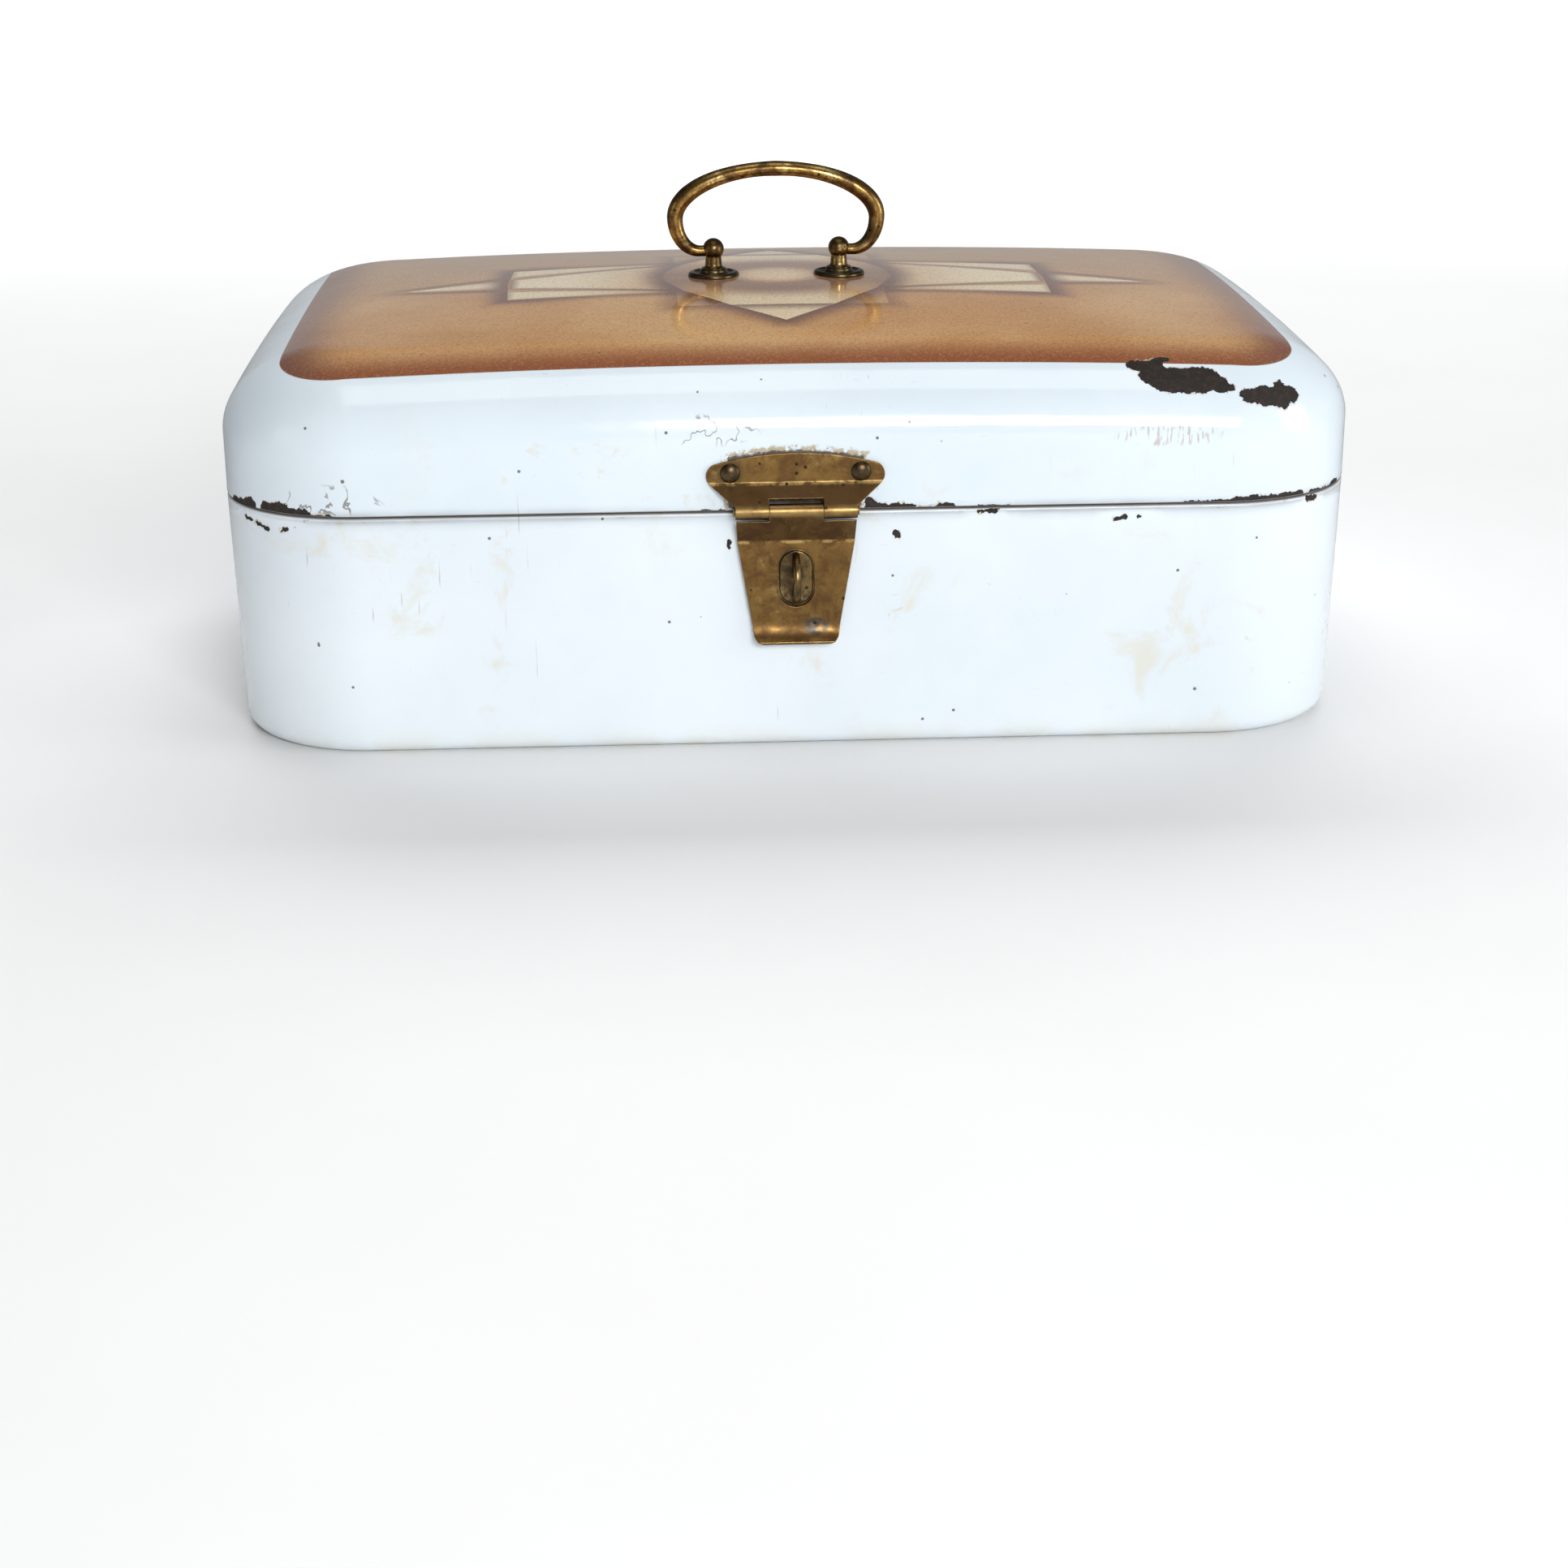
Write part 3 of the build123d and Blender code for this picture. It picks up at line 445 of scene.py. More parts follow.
class Finish:
    """A material being built, with short ways to add the textures that every finish here uses."""

    def __init__(self, name):
        self.material = bpy.data.materials.new(name)
        self.material.use_nodes = True
        self.tree = self.material.node_tree
        self.shader = self.tree.nodes["Principled BSDF"]
        coords = self.tree.nodes.new("ShaderNodeTexCoord")
        self.place = coords.outputs["Object"]
        split = self.tree.nodes.new("ShaderNodeSeparateXYZ")
        self.tree.links.new(self.place, split.inputs[0])
        self.x, self.y, self.z = (Value(self.tree, split.outputs[i]) for i in range(3))

    def stretched(self, scale, offset=(0, 0, 0)):
        node = self.tree.nodes.new("ShaderNodeMapping")
        node.inputs["Scale"].default_value = scale
        node.inputs["Location"].default_value = offset
        self.tree.links.new(self.place, node.inputs["Vector"])
        return node.outputs[0]

    def noise(self, scale, detail=3.0, rough=0.55, vector=None, twist=0.0):
        node = self.tree.nodes.new("ShaderNodeTexNoise")
        node.inputs["Scale"].default_value = scale
        node.inputs["Detail"].default_value = detail
        node.inputs["Roughness"].default_value = rough
        node.inputs["Distortion"].default_value = twist
        self.tree.links.new(vector or self.place, node.inputs["Vector"])
        return Value(self.tree, node.outputs["Fac"])

    def cells(self, scale, vector=None, output="Distance"):
        node = self.tree.nodes.new("ShaderNodeTexVoronoi")
        node.inputs["Scale"].default_value = scale
        self.tree.links.new(vector or self.place, node.inputs["Vector"])
        return Value(self.tree, node.outputs[output])

    def spots(self, scale, radius, share, vector=None):
        """Scattered round spots: cells of which only a share carries a spot of a radius, in cell widths."""
        pick = self.cells(scale, vector, "Color")
        node = self.tree.nodes.new("ShaderNodeSeparateColor")
        self.tree.links.new(pick.socket, node.inputs[0])
        chosen = Value(self.tree, node.outputs[0]).ramp(share + 0.001, share)
        return self.cells(scale, vector).ramp(radius, radius * 0.6) * chosen

    def patch(self, x, z, half_x, half_z):
        """A soft oval region on the front, centred at millimetres from the middle and above the seam."""
        dx = (self.x / MM - x) / half_x
        dz = ((self.z - SEAM) / MM - z) / half_z
        return (dx * dx + dz * dz).ramp(1.3, 0.5) * self.y.ramp(0, -60 * MM)

    def cracks(self, scale, width, vector=None):
        """Thin wandering lines where a noise crosses its middle value."""
        return (self.noise(scale, 4, 0.6, vector, 0.4) - 0.5).size().ramp(width, width * 0.4)

    def mix(self, amount, low, high):
        node = self.tree.nodes.new("ShaderNodeMix")
        node.data_type = "RGBA"
        plug(self.tree, amount, node.inputs["Factor"])
        plug(self.tree, low, node.inputs[6])
        plug(self.tree, high, node.inputs[7])
        return Value(self.tree, node.outputs[2])

    def blend(self, amount, low, high):
        """Between two numbers or values, by an amount."""
        node = self.tree.nodes.new("ShaderNodeMix")
        plug(self.tree, amount, node.inputs["Factor"])
        plug(self.tree, low, node.inputs[2])
        plug(self.tree, high, node.inputs[3])
        return Value(self.tree, node.outputs[0])

    def attribute(self, name):
        node = self.tree.nodes.new("ShaderNodeAttribute")
        node.attribute_name = name
        return Value(self.tree, node.outputs["Fac"])

    def edges(self, radius):
        """How close to a sharp edge a point is, from how far a rounded normal turns from the true one."""
        bevel = self.tree.nodes.new("ShaderNodeBevel")
        bevel.samples = 6
        bevel.inputs["Radius"].default_value = radius
        shape = self.tree.nodes.new("ShaderNodeNewGeometry")
        dot = self.tree.nodes.new("ShaderNodeVectorMath")
        dot.operation = "DOT_PRODUCT"
        self.tree.links.new(bevel.outputs[0], dot.inputs[0])
        self.tree.links.new(shape.outputs["Normal"], dot.inputs[1])
        return Value(self.tree, dot.outputs["Value"]).ramp(0.995, 0.8), bevel.outputs[0]

    def finish(self, colour, rough, height=None, depth=0.1 * MM, metal=0.0, normal=None):
        plug(self.tree, colour, self.shader.inputs["Base Color"])
        plug(self.tree, rough, self.shader.inputs["Roughness"])
        plug(self.tree, metal, self.shader.inputs["Metallic"])
        if height is not None:
            bump = self.tree.nodes.new("ShaderNodeBump")
            bump.inputs["Strength"].default_value = 1.0
            bump.inputs["Distance"].default_value = depth
            plug(self.tree, height, bump.inputs["Height"])
            if normal is not None:
                self.tree.links.new(normal, bump.inputs["Normal"])
            self.tree.links.new(bump.outputs[0], self.shader.inputs["Normal"])
        elif normal is not None:
            self.tree.links.new(normal, self.shader.inputs["Normal"])
        return self.material


# ---- enamel ---------------------------------------------------------------------------------------------
WHITE = (0.80, 0.87, 0.91)
WHITE_DULL = (0.72, 0.79, 0.84)
IVORY = (0.70, 0.62, 0.44)
# Dark brown for grime specks, also used for the painted shade line in the lid and box joint.
GRIME_AND_SEAM_SHADE = (0.12, 0.075, 0.045)
SCUFF = (0.42, 0.26, 0.21)
BLOT = (0.50, 0.36, 0.20)
HAIRLINE = (0.30, 0.20, 0.15)
OPEN_CRACK = (0.14, 0.10, 0.08)
SPECKLE = (0.38, 0.40, 0.42)
WORN_EDGE = (0.22, 0.14, 0.08)
WORN_BEIGE = (0.66, 0.55, 0.36)
LID_SHADE = (0.62, 0.73, 0.82)
CHIP_RIM = (0.60, 0.54, 0.42)
BARE = (0.012, 0.008, 0.006)
RUST = (0.042, 0.022, 0.014)
BARE_GLINT = (0.12, 0.09, 0.07)
HALO_GRIME = (0.050, 0.032, 0.020)
HALO_CRUMBS = (0.42, 0.33, 0.19)
TAN = (0.53, 0.270, 0.100)
TAN_LIGHT = (0.62, 0.370, 0.165)
# Grey tan: a tone in the sprayed pattern, and also a painted reflection towards the lid's back.
TAN_GREY_AND_REFLECTION = (0.40, 0.26, 0.14)
RED_BROWN = (0.24, 0.070, 0.028)
PURPLE = (0.155, 0.070, 0.056)
CREAM = (0.84, 0.72, 0.50)
SPRAY_DARK = (0.16, 0.085, 0.05)
SPRAY_LIGHT = (0.75, 0.55, 0.34)
PANEL_X, PANEL_Y, PANEL_CORNER = 168.5, 109.8, 22.0  # the panel's half sizes and corner, in millimetres


def aged_white(f):
    """Blue-white enamel with faint clouding, stains, pinholes and scuffs."""
    colour = f.mix(f.noise(9, 4).ramp(0.35, 0.7), WHITE, WHITE_DULL)
    low_side = (f.z / SEAM).ramp(1.5, 0.9)
    stains = f.noise(38, 6, 0.65, twist=0.6).ramp(0.56, 0.70) * f.noise(12, 2).ramp(0.45, 0.60)
    colour = f.mix(stains * low_side * 0.45, colour, IVORY)
    blots = f.noise(95, 5, 0.7, twist=0.8).ramp(0.66, 0.72) * f.noise(14, 2).ramp(0.50, 0.60)
    colour = f.mix(blots * low_side * 0.5, colour, BLOT)
    scratch = f.noise(1, 2, 0.5, f.stretched((900, 300, 55))).ramp(0.68, 0.76)
    scratch = scratch * f.noise(26, 2).ramp(0.56, 0.66)
    colour = f.mix(scratch * 0.5, colour, SCUFF)
    hair = f.noise(1, 3, 0.5, f.stretched((120, 300, 1500), (3, 1, 2))).ramp(0.73, 0.76)
    colour = f.mix(hair * f.noise(18, 2).ramp(0.48, 0.6) * 0.35, colour, SCUFF)
    crazing = f.cracks(26, 0.005) * f.noise(7, 2).ramp(0.67, 0.73)
    colour = f.mix(crazing * 0.35, colour, HAIRLINE)
    speckle = f.noise(1500, 2, 0.8).ramp(0.62, 0.80)
    colour = f.mix(speckle * 0.16, colour, SPECKLE)
    specks = f.spots(190, 0.12, 0.07).larger(f.spots(75, 0.060, 0.07))
    colour = f.mix(specks * 0.9, colour, GRIME_AND_SEAM_SHADE)
    return colour, specks


def chipped(f, colour, rough):
    """Bare dark steel inside the chips, with a pale broken rim."""
    chip = f.attribute("chip") + (f.noise(2600, 2) - 0.5) * 0.7
    bare = chip.ramp(-0.06, 0.06)
    rim = chip.ramp(-0.75, -0.1) * f.noise(260, 3, 0.6).ramp(0.48, 0.62)
    steel = f.mix(f.noise(500, 5, 0.75).ramp(0.46, 0.70), BARE, RUST)
    glint = f.noise(1900, 2, 0.6).ramp(0.66, 0.76)
    steel = f.mix(glint * 0.35, steel, BARE_GLINT)
    colour = f.mix(rim * 0.8, colour, CHIP_RIM)
    colour = f.mix(bare, colour, steel)
    rough = f.blend(bare, rough, 0.7)
    return colour, rough, bare


def sealed_edge(f):
    """Grime, worn-through enamel and a painted shade line along the joint between lid and box."""
    off = (f.z - (SEAM + 0.25 * MM)).size() / MM
    ragged = f.noise(150, 5, 0.75, f.stretched((1, 1, 2.5))).ramp(0.56, 0.66)
    worn = off.ramp(2.8, 0.3) * ragged * f.noise(22, 2).ramp(0.42, 0.58)
    soft = off.ramp(3.2, 0.2) * f.noise(30, 3).ramp(0.3, 0.7) * 0.35
    # A crisp dark line in the joint: painted shade where the lid meets the box.
    line = off.ramp(0.9, 0.35)
    return worn, (line * 0.75).larger(soft)


def enamel_height(f, specks, bare):
    """Orange peel, pits, low blisters and the rough floor of the chips."""
    peel = f.noise(95, 2) * 0.5 + f.noise(380, 2) * 0.10
    blister = f.spots(62, 0.16, 0.09, f.stretched((1, 1, 1), (0.7, 0.2, 0.4))) * (f.z / SEAM).ramp(1.1, 0.95)
    return peel + blister * 0.9 - specks * 0.6 + bare * (f.noise(1500, 4) * 2.4)


def white_enamel(name):
    f = Finish(name)
    colour, specks = aged_white(f)
    lower = (f.z / SEAM).ramp(0.12, 0.0) * f.noise(40, 4).ramp(0.35, 0.6)
    colour = f.mix(lower * 0.3, colour, IVORY)
    worn, line = sealed_edge(f)
    colour = f.mix(worn * 0.85, colour, WORN_EDGE)
    # The joint's dark line: painted shade, with softer grime beside it.
    colour = f.mix(line, colour, GRIME_AND_SEAM_SHADE)
    rough = f.blend(f.noise(30, 3).ramp(0.3, 0.75), 0.10, 0.20) + worn * 0.3
    colour, rough, bare = chipped(f, colour, rough)
    return f.finish(colour, rough, enamel_height(f, specks, bare), 0.12 * MM)


def shape(x, y, *corners):
    """Signed distance in millimetres to a convex outline; corners run anticlockwise."""
    result = None
    for (px, py), (qx, qy) in zip(corners, corners[1:] + corners[:1]):
        reach = math.hypot(qx - px, qy - py)
        a, b = (qy - py) / reach, (px - qx) / reach
        side = x * a + y * b - (a * px + b * py)
        result = side if result is None else result.larger(side)
    return result


def panel_colour(f):
    """The sprayed panel: tan with a dark edge, and pale geometric shapes with dark spray round them."""
    ax, ay = f.x.size() / MM, f.y.size() / MM
    past_x, past_y = ax - (PANEL_X - PANEL_CORNER), ay - (PANEL_Y - PANEL_CORNER)
    dx, dy = past_x.larger(0), past_y.larger(0)
    edge = (dx * dx + dy * dy).op("SQRT") + past_x.larger(past_y).smaller(0) - PANEL_CORNER

    def laid(over, amount, colour):
        return f.mix(amount, over, colour)

    tone = laid(TAN, f.noise(14, 3).ramp(0.35, 0.7), TAN_LIGHT)
    # Greyer towards the back: a painted reflection of the pale surroundings at a glancing angle.
    tone = laid(tone, (f.y / HALF_Y).ramp(-0.35, 0.5) * 0.7, TAN_GREY_AND_REFLECTION)
    front = (f.y / HALF_Y).ramp(-0.3, -0.8)
    tone = laid(tone, edge.ramp(-17, -1) * f.blend(front, 0.5, 0.95), RED_BROWN)
    tone = laid(tone, (ax - PANEL_X).ramp(-26, -2) * 0.6, PURPLE)
    # Long thin wedge towards each end.
    wedge = shape(ax, ay, (99, -9), (132, -9), (132, 0.3), (99.5, 8))
    streak = (ay + ax * 0.25 - 37).size().ramp(5, 0) * ax.ramp(97, 103) * ax.ramp(150, 124)
    tone = laid(tone, streak * 0.8, PURPLE)
    tone = laid(tone, wedge.ramp(0.4, -0.4) * ay.ramp(9, 1) * 0.85, CREAM)
    # A bar at each end of the middle field.
    bar = shape(ax, ay, (-9, -9), (97, -9), (95.5, 30), (-9, 31))
    tone = laid(tone, bar.ramp(12, 0) * (ax - 60).ramp(0, 30) * 0.85, PURPLE)
    tone = laid(tone, bar.ramp(7, 0) * 0.75, PURPLE)
    inside = bar.ramp(0.3, -0.3)
    tone = laid(tone, inside * 0.9, laid(TAN_GREY_AND_REFLECTION, (ax / 95).ramp(0.2, 0.6), TAN_LIGHT))
    # Two pale strips inside it, brightest at the outer end.
    fade = (ax / 95).ramp(0.30, 0.85)
    strip = shape(ax, ay, (37, 26.5), (96, 14.6), (95.5, 29.6), (37, 29.8))
    middle = shape(ax, ay, (-9, -20), (95, -20), (95, 9.3), (37, 27), (-9, 29))
    tone = laid(tone, strip.ramp(0.3, -0.3) * fade * 0.85, CREAM)
    tone = laid(tone, middle.ramp(0.3, -0.3) * fade * 0.95, CREAM)
    tone = laid(tone, middle.size().ramp(3.2, 0) * inside * (ax - 34).ramp(0, 6) * 0.65, PURPLE)
    tone = laid(tone, strip.size().ramp(2.6, 0) * inside * (ax - 34).ramp(0, 6) * 0.45, PURPLE)
    # The cross piece: a rectangle with a point through it.
    block = shape(ax, ay, (-9, 20), (36.3, 20), (36.3, 51.5), (-9, 51.5))
    tone = laid(tone, block.ramp(10, 0) * 0.55, PURPLE)
    tone = laid(tone, block.ramp(0.3, -0.3) * 0.7, TAN_LIGHT)
    point = shape(ax, ay, (-9, -9), (42, -9), (40, 10), (34, 27.5), (18, 51.5), (0, 72.6), (-9, 72.6))
    tone = laid(tone, point.ramp(12, 0) * 0.95, PURPLE)
    light = ay.ramp(20, 46) * ax.ramp(34, 14) * 0.75
    tone = laid(tone, point.ramp(0.3, -0.3) * (ax.ramp(42, 24) * 0.8 + 0.2), laid(TAN_LIGHT, light, CREAM))
    under = (ay - 51.5).ramp(-0.2, 0.2) * (ay - 51.5).ramp(10, 0) * point.ramp(0.3, -0.3)
    tone = laid(tone, under * 0.85, PURPLE)
    # A pale disc between the posts.
    disc = (ax * ax + ay * ay).op("SQRT")
    tone = laid(tone, disc.ramp(8, 19) * disc.ramp(44, 26) * 0.75, PURPLE)
    tone = laid(tone, disc.ramp(19, 4) * 0.55, CREAM)
    grain = f.noise(1100, 2, 0.8)
    tone = laid(tone, grain.ramp(0.46, 0.70) * 0.45, SPRAY_DARK)
    tone = laid(tone, grain.ramp(0.50, 0.28) * 0.16, SPRAY_LIGHT)
    return tone, edge


def lid_enamel():
    f = Finish("lid_enamel")
    white, specks = aged_white(f)
    white = f.mix(0.30, white, LID_SHADE)
    beige = f.patch(-75, 16, 30, 9).larger(f.patch(-40, 3.5, 22, 3))
    beige = beige * f.noise(110, 5, 0.7, twist=0.5).ramp(0.54, 0.68)
    white = f.mix(beige * 0.35, white, WORN_BEIGE)
    row = f.patch(122, 23, 19, 3.5) * f.noise(1, 2, 0.5, f.stretched((900, 200, 170))).ramp(0.53, 0.62)
    white = f.mix(row * 0.55, white, SCUFF)
    crack = f.patch(124, 29.5, 14, 3.5) * f.cracks(30, 0.007)
    crack = crack.larger(f.patch(-28, 27, 16, 5) * f.cracks(26, 0.006))
    crack = crack.larger(f.patch(-150, 6, 16, 5) * f.cracks(70, 0.02))
    white = f.mix(crack * 0.75, white, OPEN_CRACK)
    tone, edge = panel_colour(f)
    outer = f.attribute("outer").ramp(0.4, 0.6)
    on_top = (f.z - (SEAM + 20 * MM)).ramp(0, 1 * MM) * outer
    colour = f.mix(edge.ramp(0.25, -0.25) * on_top, white, tone)
    colour = f.mix(specks * 0.7, colour, GRIME_AND_SEAM_SHADE)
    worn, line = sealed_edge(f)
    colour = f.mix(worn * 0.85, colour, WORN_EDGE)
    # The joint's dark line: painted shade, with softer grime beside it.
    colour = f.mix(line, colour, GRIME_AND_SEAM_SHADE)
    stain, broken = halo_round_hasp(f)
    colour = f.mix(broken * outer, colour, HALO_CRUMBS)
    colour = f.mix(stain * outer, colour, HALO_GRIME)
    rough = f.blend(f.noise(30, 3).ramp(0.3, 0.75), 0.07, 0.16) + worn * 0.3
    colour, rough, bare = chipped(f, colour, rough)
    return f.finish(colour, rough, enamel_height(f, specks, bare), 0.12 * MM)


def halo_round_hasp(f):
    """A thin ragged line of grime, and broken enamel beyond it, round the hasp's plate."""
    up = (f.z - SEAM) / MM
    outline = ((21, -3), (21.2, 2), (31, 9.8), (31.5, 12.7), (29, 16.2), (20, 18), (10, 19.4), (0, 19.9))
    reach = shape(f.x.size() / MM, up, (-9, -3), *outline, (-9, 19.9))
    ragged = reach + (f.noise(330, 4, 0.75) - 0.5) * 3.4
    front = (f.y / HALF_Y).ramp(-0.95, -0.97)
    crumbs = f.noise(420, 4, 0.7).ramp(0.44, 0.52) * front * 0.85
    return ragged.ramp(0.9, 0.1) * front * 0.9, ragged.ramp(2.6, 1.4) * crumbs


# ---- metals ---------------------------------------------------------------------------------------------
# Places on the brass in millimetres, from the middle and above the seam or the lid's top.
RIVET_X, RIVET_UP = 21.3, 13.2
FOLD_UP, BARREL_UP = 9.7, 1.4
BALL_X, BALL_UP = 22.6, 7.4
HASP_PAINTED_SHADE, RIVET_SHADE, HEAD_SHADE = (0.070, 0.036, 0.018), (0.060, 0.044, 0.022), (0.045, 0.034, 0.022)
PATINA, BLUE_GREY, TARNISH_SPOT = (0.055, 0.046, 0.026), (0.050, 0.058, 0.062), (0.020, 0.018, 0.014)
PLATING, PLATING_DULL, PLATING_EDGE = (0.42, 0.42, 0.41), (0.20, 0.15, 0.11), (0.62, 0.62, 0.60)


def hasp_zones(f, colour, bright):
    """Painted shade between the folds, dark round the rivets, painted highlights on the folds and barrel
    broken up by noise, a blue-grey spot on the lip.
    """
    up = (f.z - SEAM) / MM
    # Darker within the folds round the barrel: painted shade on the sheet that faces down.
    colour = f.mix(up.size().ramp(FOLD_UP + 0.5, FOLD_UP - 0.5) * 0.55, colour, HASP_PAINTED_SHADE)
    across, above = f.x.size() / MM - RIVET_X, up - RIVET_UP
    round_rivet = (across * across + above * above).op("SQRT").ramp(5.6, 3.2)
    colour = f.mix(round_rivet * 0.55, colour, RIVET_SHADE)
    spot = f.patch(6.6, -38.5, 4.2, 3.0) * f.noise(420, 4).ramp(0.30, 0.50)
    colour = f.mix(spot * 0.85, colour, BLUE_GREY)
    # Brighter along the folds and the barrel: painted highlights, broken up by noise.
    fold_highlight = (up.size() - FOLD_UP).size().ramp(0.9, 0.1) * f.noise(190, 5, 0.7).ramp(0.42, 0.58)
    barrel_highlight = (up - BARREL_UP).size().ramp(2.4, 0.8) * f.noise(120, 4).ramp(0.25, 0.6) * 0.6
    return f.mix(fold_highlight.larger(barrel_highlight) * 0.6, colour, bright)


def rivet_zones(f, colour, bright):
    """Rivet heads, which are above the seam, darker than the staple below it."""
    return f.mix(f.z.ramp(SEAM - 2 * MM, SEAM + 2 * MM) * 0.7, colour, HEAD_SHADE)


def handle_zones(f, colour, bright):
    """Dark patina on the rosettes, a little less on the ball heads."""
    up = (f.z - (SPRING + CROWN)) / MM
    across, above = f.x.size() / MM - BALL_X, up - BALL_UP
    ball = (across * across + above * above).op("SQRT").ramp(5.5, 3.6)
    patina = up.ramp(3.6, 2.6).larger(ball * 0.45)
    return f.mix(patina * 0.8, colour, PATINA)


def brass(name, base, dark, bright, rough, wear, zones=None):
    """Old brass: brown bloom, dark spots, and brighter metal where hands and edges have rubbed it."""
    f = Finish(name)
    edge, rounded = f.edges(0.45 * MM)
    bloom = f.noise(130, 6, 0.7, twist=0.5)
    colour = f.mix(bloom.ramp(0.38, 0.62), base, dark)
    colour = f.mix(f.noise(420, 5, 0.75).ramp(0.54, 0.66) * 0.75, colour, dark)
    rub = (edge * 0.85 + f.noise(70, 5, 0.6).ramp(0.54, 0.68) * wear).smaller(1.0)
    colour = f.mix(rub * f.noise(900, 3).ramp(0.3, 0.55), colour, bright)
    if zones:
        colour = zones(f, colour, bright)
    spots = f.spots(330, 0.24, 0.14)
    colour = f.mix(spots * 0.85, colour, TARNISH_SPOT)
    shine = f.blend(bloom.ramp(0.35, 0.7), rough, rough + 0.20) - rub * 0.12 + spots * 0.2
    height = f.noise(260, 4) * 0.6 + f.noise(1400, 2) * 0.25 - spots * 0.5
    return f.finish(colour, shine, height, 0.06 * MM, 1.0, rounded)


def plated_steel():
    f = Finish("plated_steel")
    edge, rounded = f.edges(0.2 * MM)
    colour = f.mix(f.noise(220, 5, 0.7).ramp(0.45, 0.7), PLATING, PLATING_DULL)
    colour = f.mix(edge * 0.6, colour, PLATING_EDGE)
    return f.finish(colour, f.blend(f.noise(300, 3), 0.3, 0.55), f.noise(700, 3), 0.04 * MM, 1.0, rounded)


# ---- pieces ---------------------------------------------------------------------------------------------
lid = lid_sheet()
knock_out(lid, LID_CHIPS, settle_on_lid)
lid.data.materials.append(lid_enamel())
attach(lid, "lid")
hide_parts("lid_shell")

box = box_sheet()
knock_out(box, BOX_CHIPS)
box.data.materials.append(white_enamel("box_enamel"))
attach(box, "box")
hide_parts("body_shell")

HASP_BRASS = ((0.22, 0.125, 0.040), (0.125, 0.068, 0.026), (0.70, 0.48, 0.18))  # base, dark and bright
HINGE_BRASS = ((0.22, 0.130, 0.042), (0.100, 0.060, 0.026), (0.60, 0.41, 0.16))
HANDLE_BRASS = ((0.34, 0.20, 0.060), (0.085, 0.048, 0.020), (0.88, 0.64, 0.26))
DARK_BRASS = ((0.20, 0.130, 0.052), (0.060, 0.042, 0.024), (0.74, 0.54, 0.24))
finishes = {
    "handle_brass": brass("handle_brass", *HANDLE_BRASS, 0.24, 0.5, handle_zones),
    "hasp_brass": brass("hasp_brass", *HASP_BRASS, 0.34, 0.26, hasp_zones),
    "hinge_brass": brass("hinge_brass", *HINGE_BRASS, 0.36, 0.2),
    "dark_brass": brass("dark_brass", *DARK_BRASS, 0.28, 0.35, rivet_zones),
    "plated_steel": plated_steel(),
}
slots = {s["node"]: s["material_slot"] for s in frame["record"]["subparts"]}
for name, node in frame["nodes"].items():
    if slots[name] in finishes:
        node.data.materials.clear()
        node.data.materials.append(finishes[slots[name]])

# ---- studio ---------------------------------------------------------------------------------------------
CAMERA_PLACE = Vector((-0.0474, -1.0187, 0.3090))
CAMERA_YAW, CAMERA_PITCH, CAMERA_ROLL = 2.756, 19.79, -0.36  # degrees: to the right, downwards, clockwise
CAMERA_LENS = 64.7
FLOOR_HALF = 6.0
PAPER, PAPER_DULL, MIRRORED_PAPER = (0.88, 0.88, 0.88), (0.86, 0.86, 0.86), (0.05, 0.05, 0.05)


def studio_floor():
    """Pale paper that fades to white far off; behind the object it is darker in reflections."""
    mesh = bpy.data.meshes.new("floor")
    bm = bmesh.new()
    bmesh.ops.create_grid(bm, x_segments=8, y_segments=8, size=FLOOR_HALF)
    bm.to_mesh(mesh)
    bm.free()
    floor = bpy.data.objects.new("floor", mesh)
    bpy.context.scene.collection.objects.link(floor)
    f = Finish("floor_paper")
    path = f.tree.nodes.new("ShaderNodeLightPath")
    mirrored = Value(f.tree, path.outputs["Is Glossy Ray"]) * (f.y.ramp(-0.1, 0.3) * 0.75)
    paper = f.mix(f.noise(6, 3).ramp(0.3, 0.7), PAPER, PAPER_DULL)
    far = (f.x * f.x + f.y * f.y).op("SQRT").ramp(0.8, 2.4) * Value(f.tree, path.outputs["Is Camera Ray"])
    f.shader.inputs["Emission Color"].default_value = (1, 1, 1, 1)
    plug(f.tree, far, f.shader.inputs["Emission Strength"])
    floor.data.materials.append(f.finish(f.mix(mirrored, paper, MIRRORED_PAPER), 0.9))


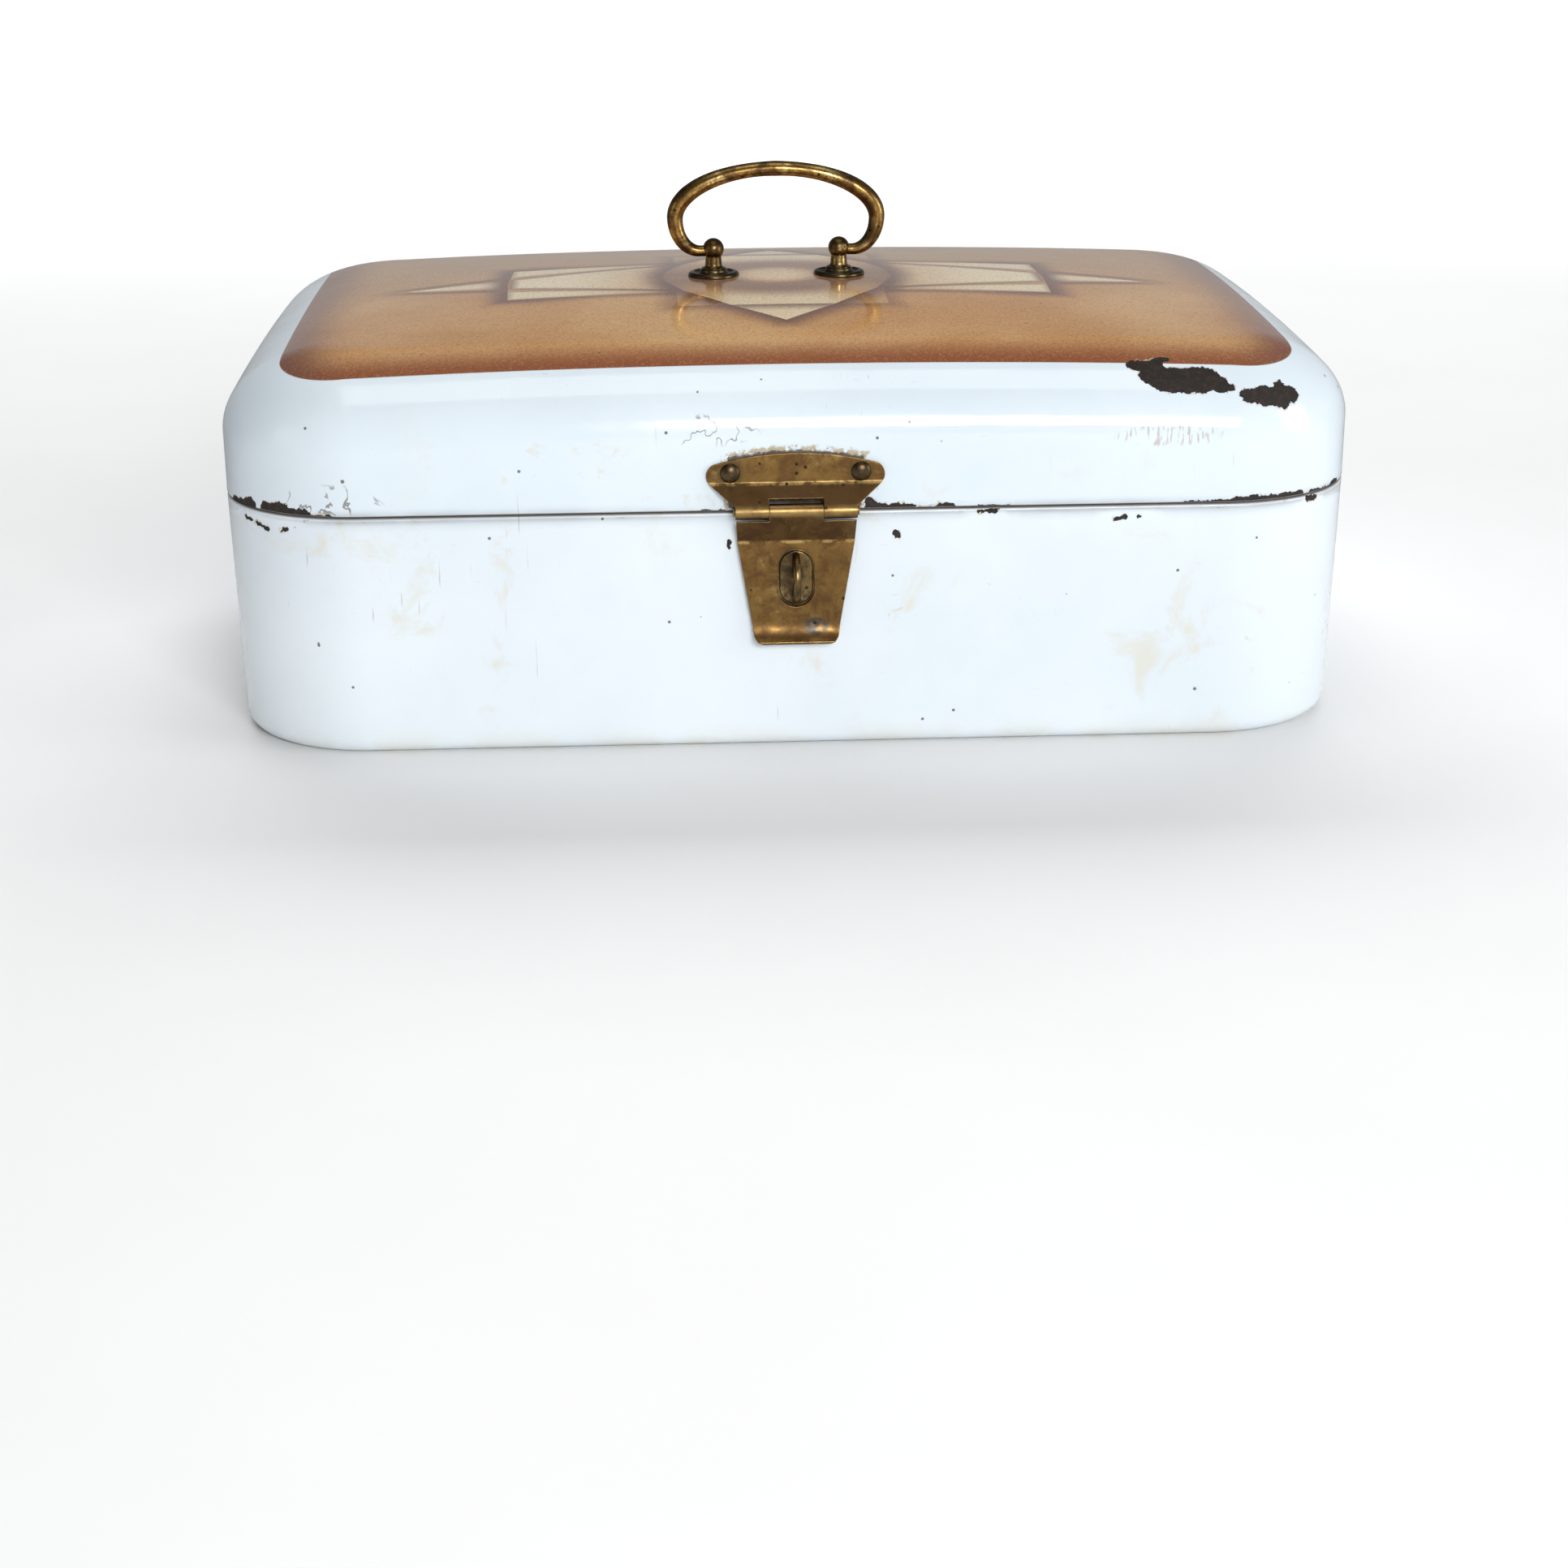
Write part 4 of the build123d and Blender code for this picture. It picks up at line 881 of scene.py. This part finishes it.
def softbox(name, place, aim, size, power, glossy=True):
    """A rectangular lamp in watts; glossy says whether it shows in reflections."""
    light = bpy.data.lights.new(name, "AREA")
    light.shape = "RECTANGLE"
    light.size, light.size_y = size
    light.energy = power
    lamp = bpy.data.objects.new(name, light)
    lamp.location = place
    lamp.visible_glossy = glossy
    lamp.rotation_euler = (Vector(aim) - Vector(place)).to_track_quat("-Z", "Y").to_euler()
    bpy.context.scene.collection.objects.link(lamp)


def camera():
    data = bpy.data.cameras.new("camera")
    data.lens = CAMERA_LENS
    view = bpy.data.objects.new("camera", data)
    turn = Matrix.Rotation(math.radians(-CAMERA_YAW), 3, "Z")
    turn = turn @ Matrix.Rotation(math.radians(90 - CAMERA_PITCH), 3, "X")
    turn = turn @ Matrix.Rotation(math.radians(CAMERA_ROLL), 3, "Z")
    view.matrix_world = Matrix.Translation(CAMERA_PLACE) @ turn.to_4x4()
    bpy.context.scene.collection.objects.link(view)
    bpy.context.scene.camera = view


def studio_world():
    """Pale surroundings, brighter towards the horizon than overhead."""
    world = bpy.data.worlds.new("studio")
    world.use_nodes = True
    tree = world.node_tree
    coords = tree.nodes.new("ShaderNodeTexCoord")
    split = tree.nodes.new("ShaderNodeSeparateXYZ")
    tree.links.new(coords.outputs["Generated"], split.inputs[0])
    height = Value(tree, split.outputs[2])
    left = Value(tree, split.outputs[0]).ramp(-0.15, -0.85)
    glow = (height.ramp(0.45, 0.10) * 0.27 + 0.14) * (left * -0.55 + 1.0)
    background = tree.nodes["Background"]
    background.inputs["Color"].default_value = (0.95, 0.97, 1.0, 1)
    path = tree.nodes.new("ShaderNodeLightPath")
    plug(tree, glow.larger(Value(tree, path.outputs["Is Camera Ray"])), background.inputs["Strength"])
    bpy.context.scene.world = world


studio_floor()
softbox("key", (0.35, -1.75, 0.75), (0, 0, 0.08), (0.7, 0.45), 20)
softbox("overhead", (0.0, -0.2, 1.7), (0, 0, 0.1), (1.0, 0.8), 5)
softbox("left_fill", (-1.8, -0.9, 0.5), (0, 0, 0.1), (0.8, 1.0), 2)
softbox("right_fill", (1.8, -0.7, 0.5), (0, 0, 0.1), (0.8, 1.0), 10)
softbox("backdrop_light", (0.0, 2.9, 2.4), (0, 2.4, 0), (4.0, 2.5), 150, glossy=False)
studio_world()
bpy.context.scene.view_settings.view_transform = "Standard"
camera()
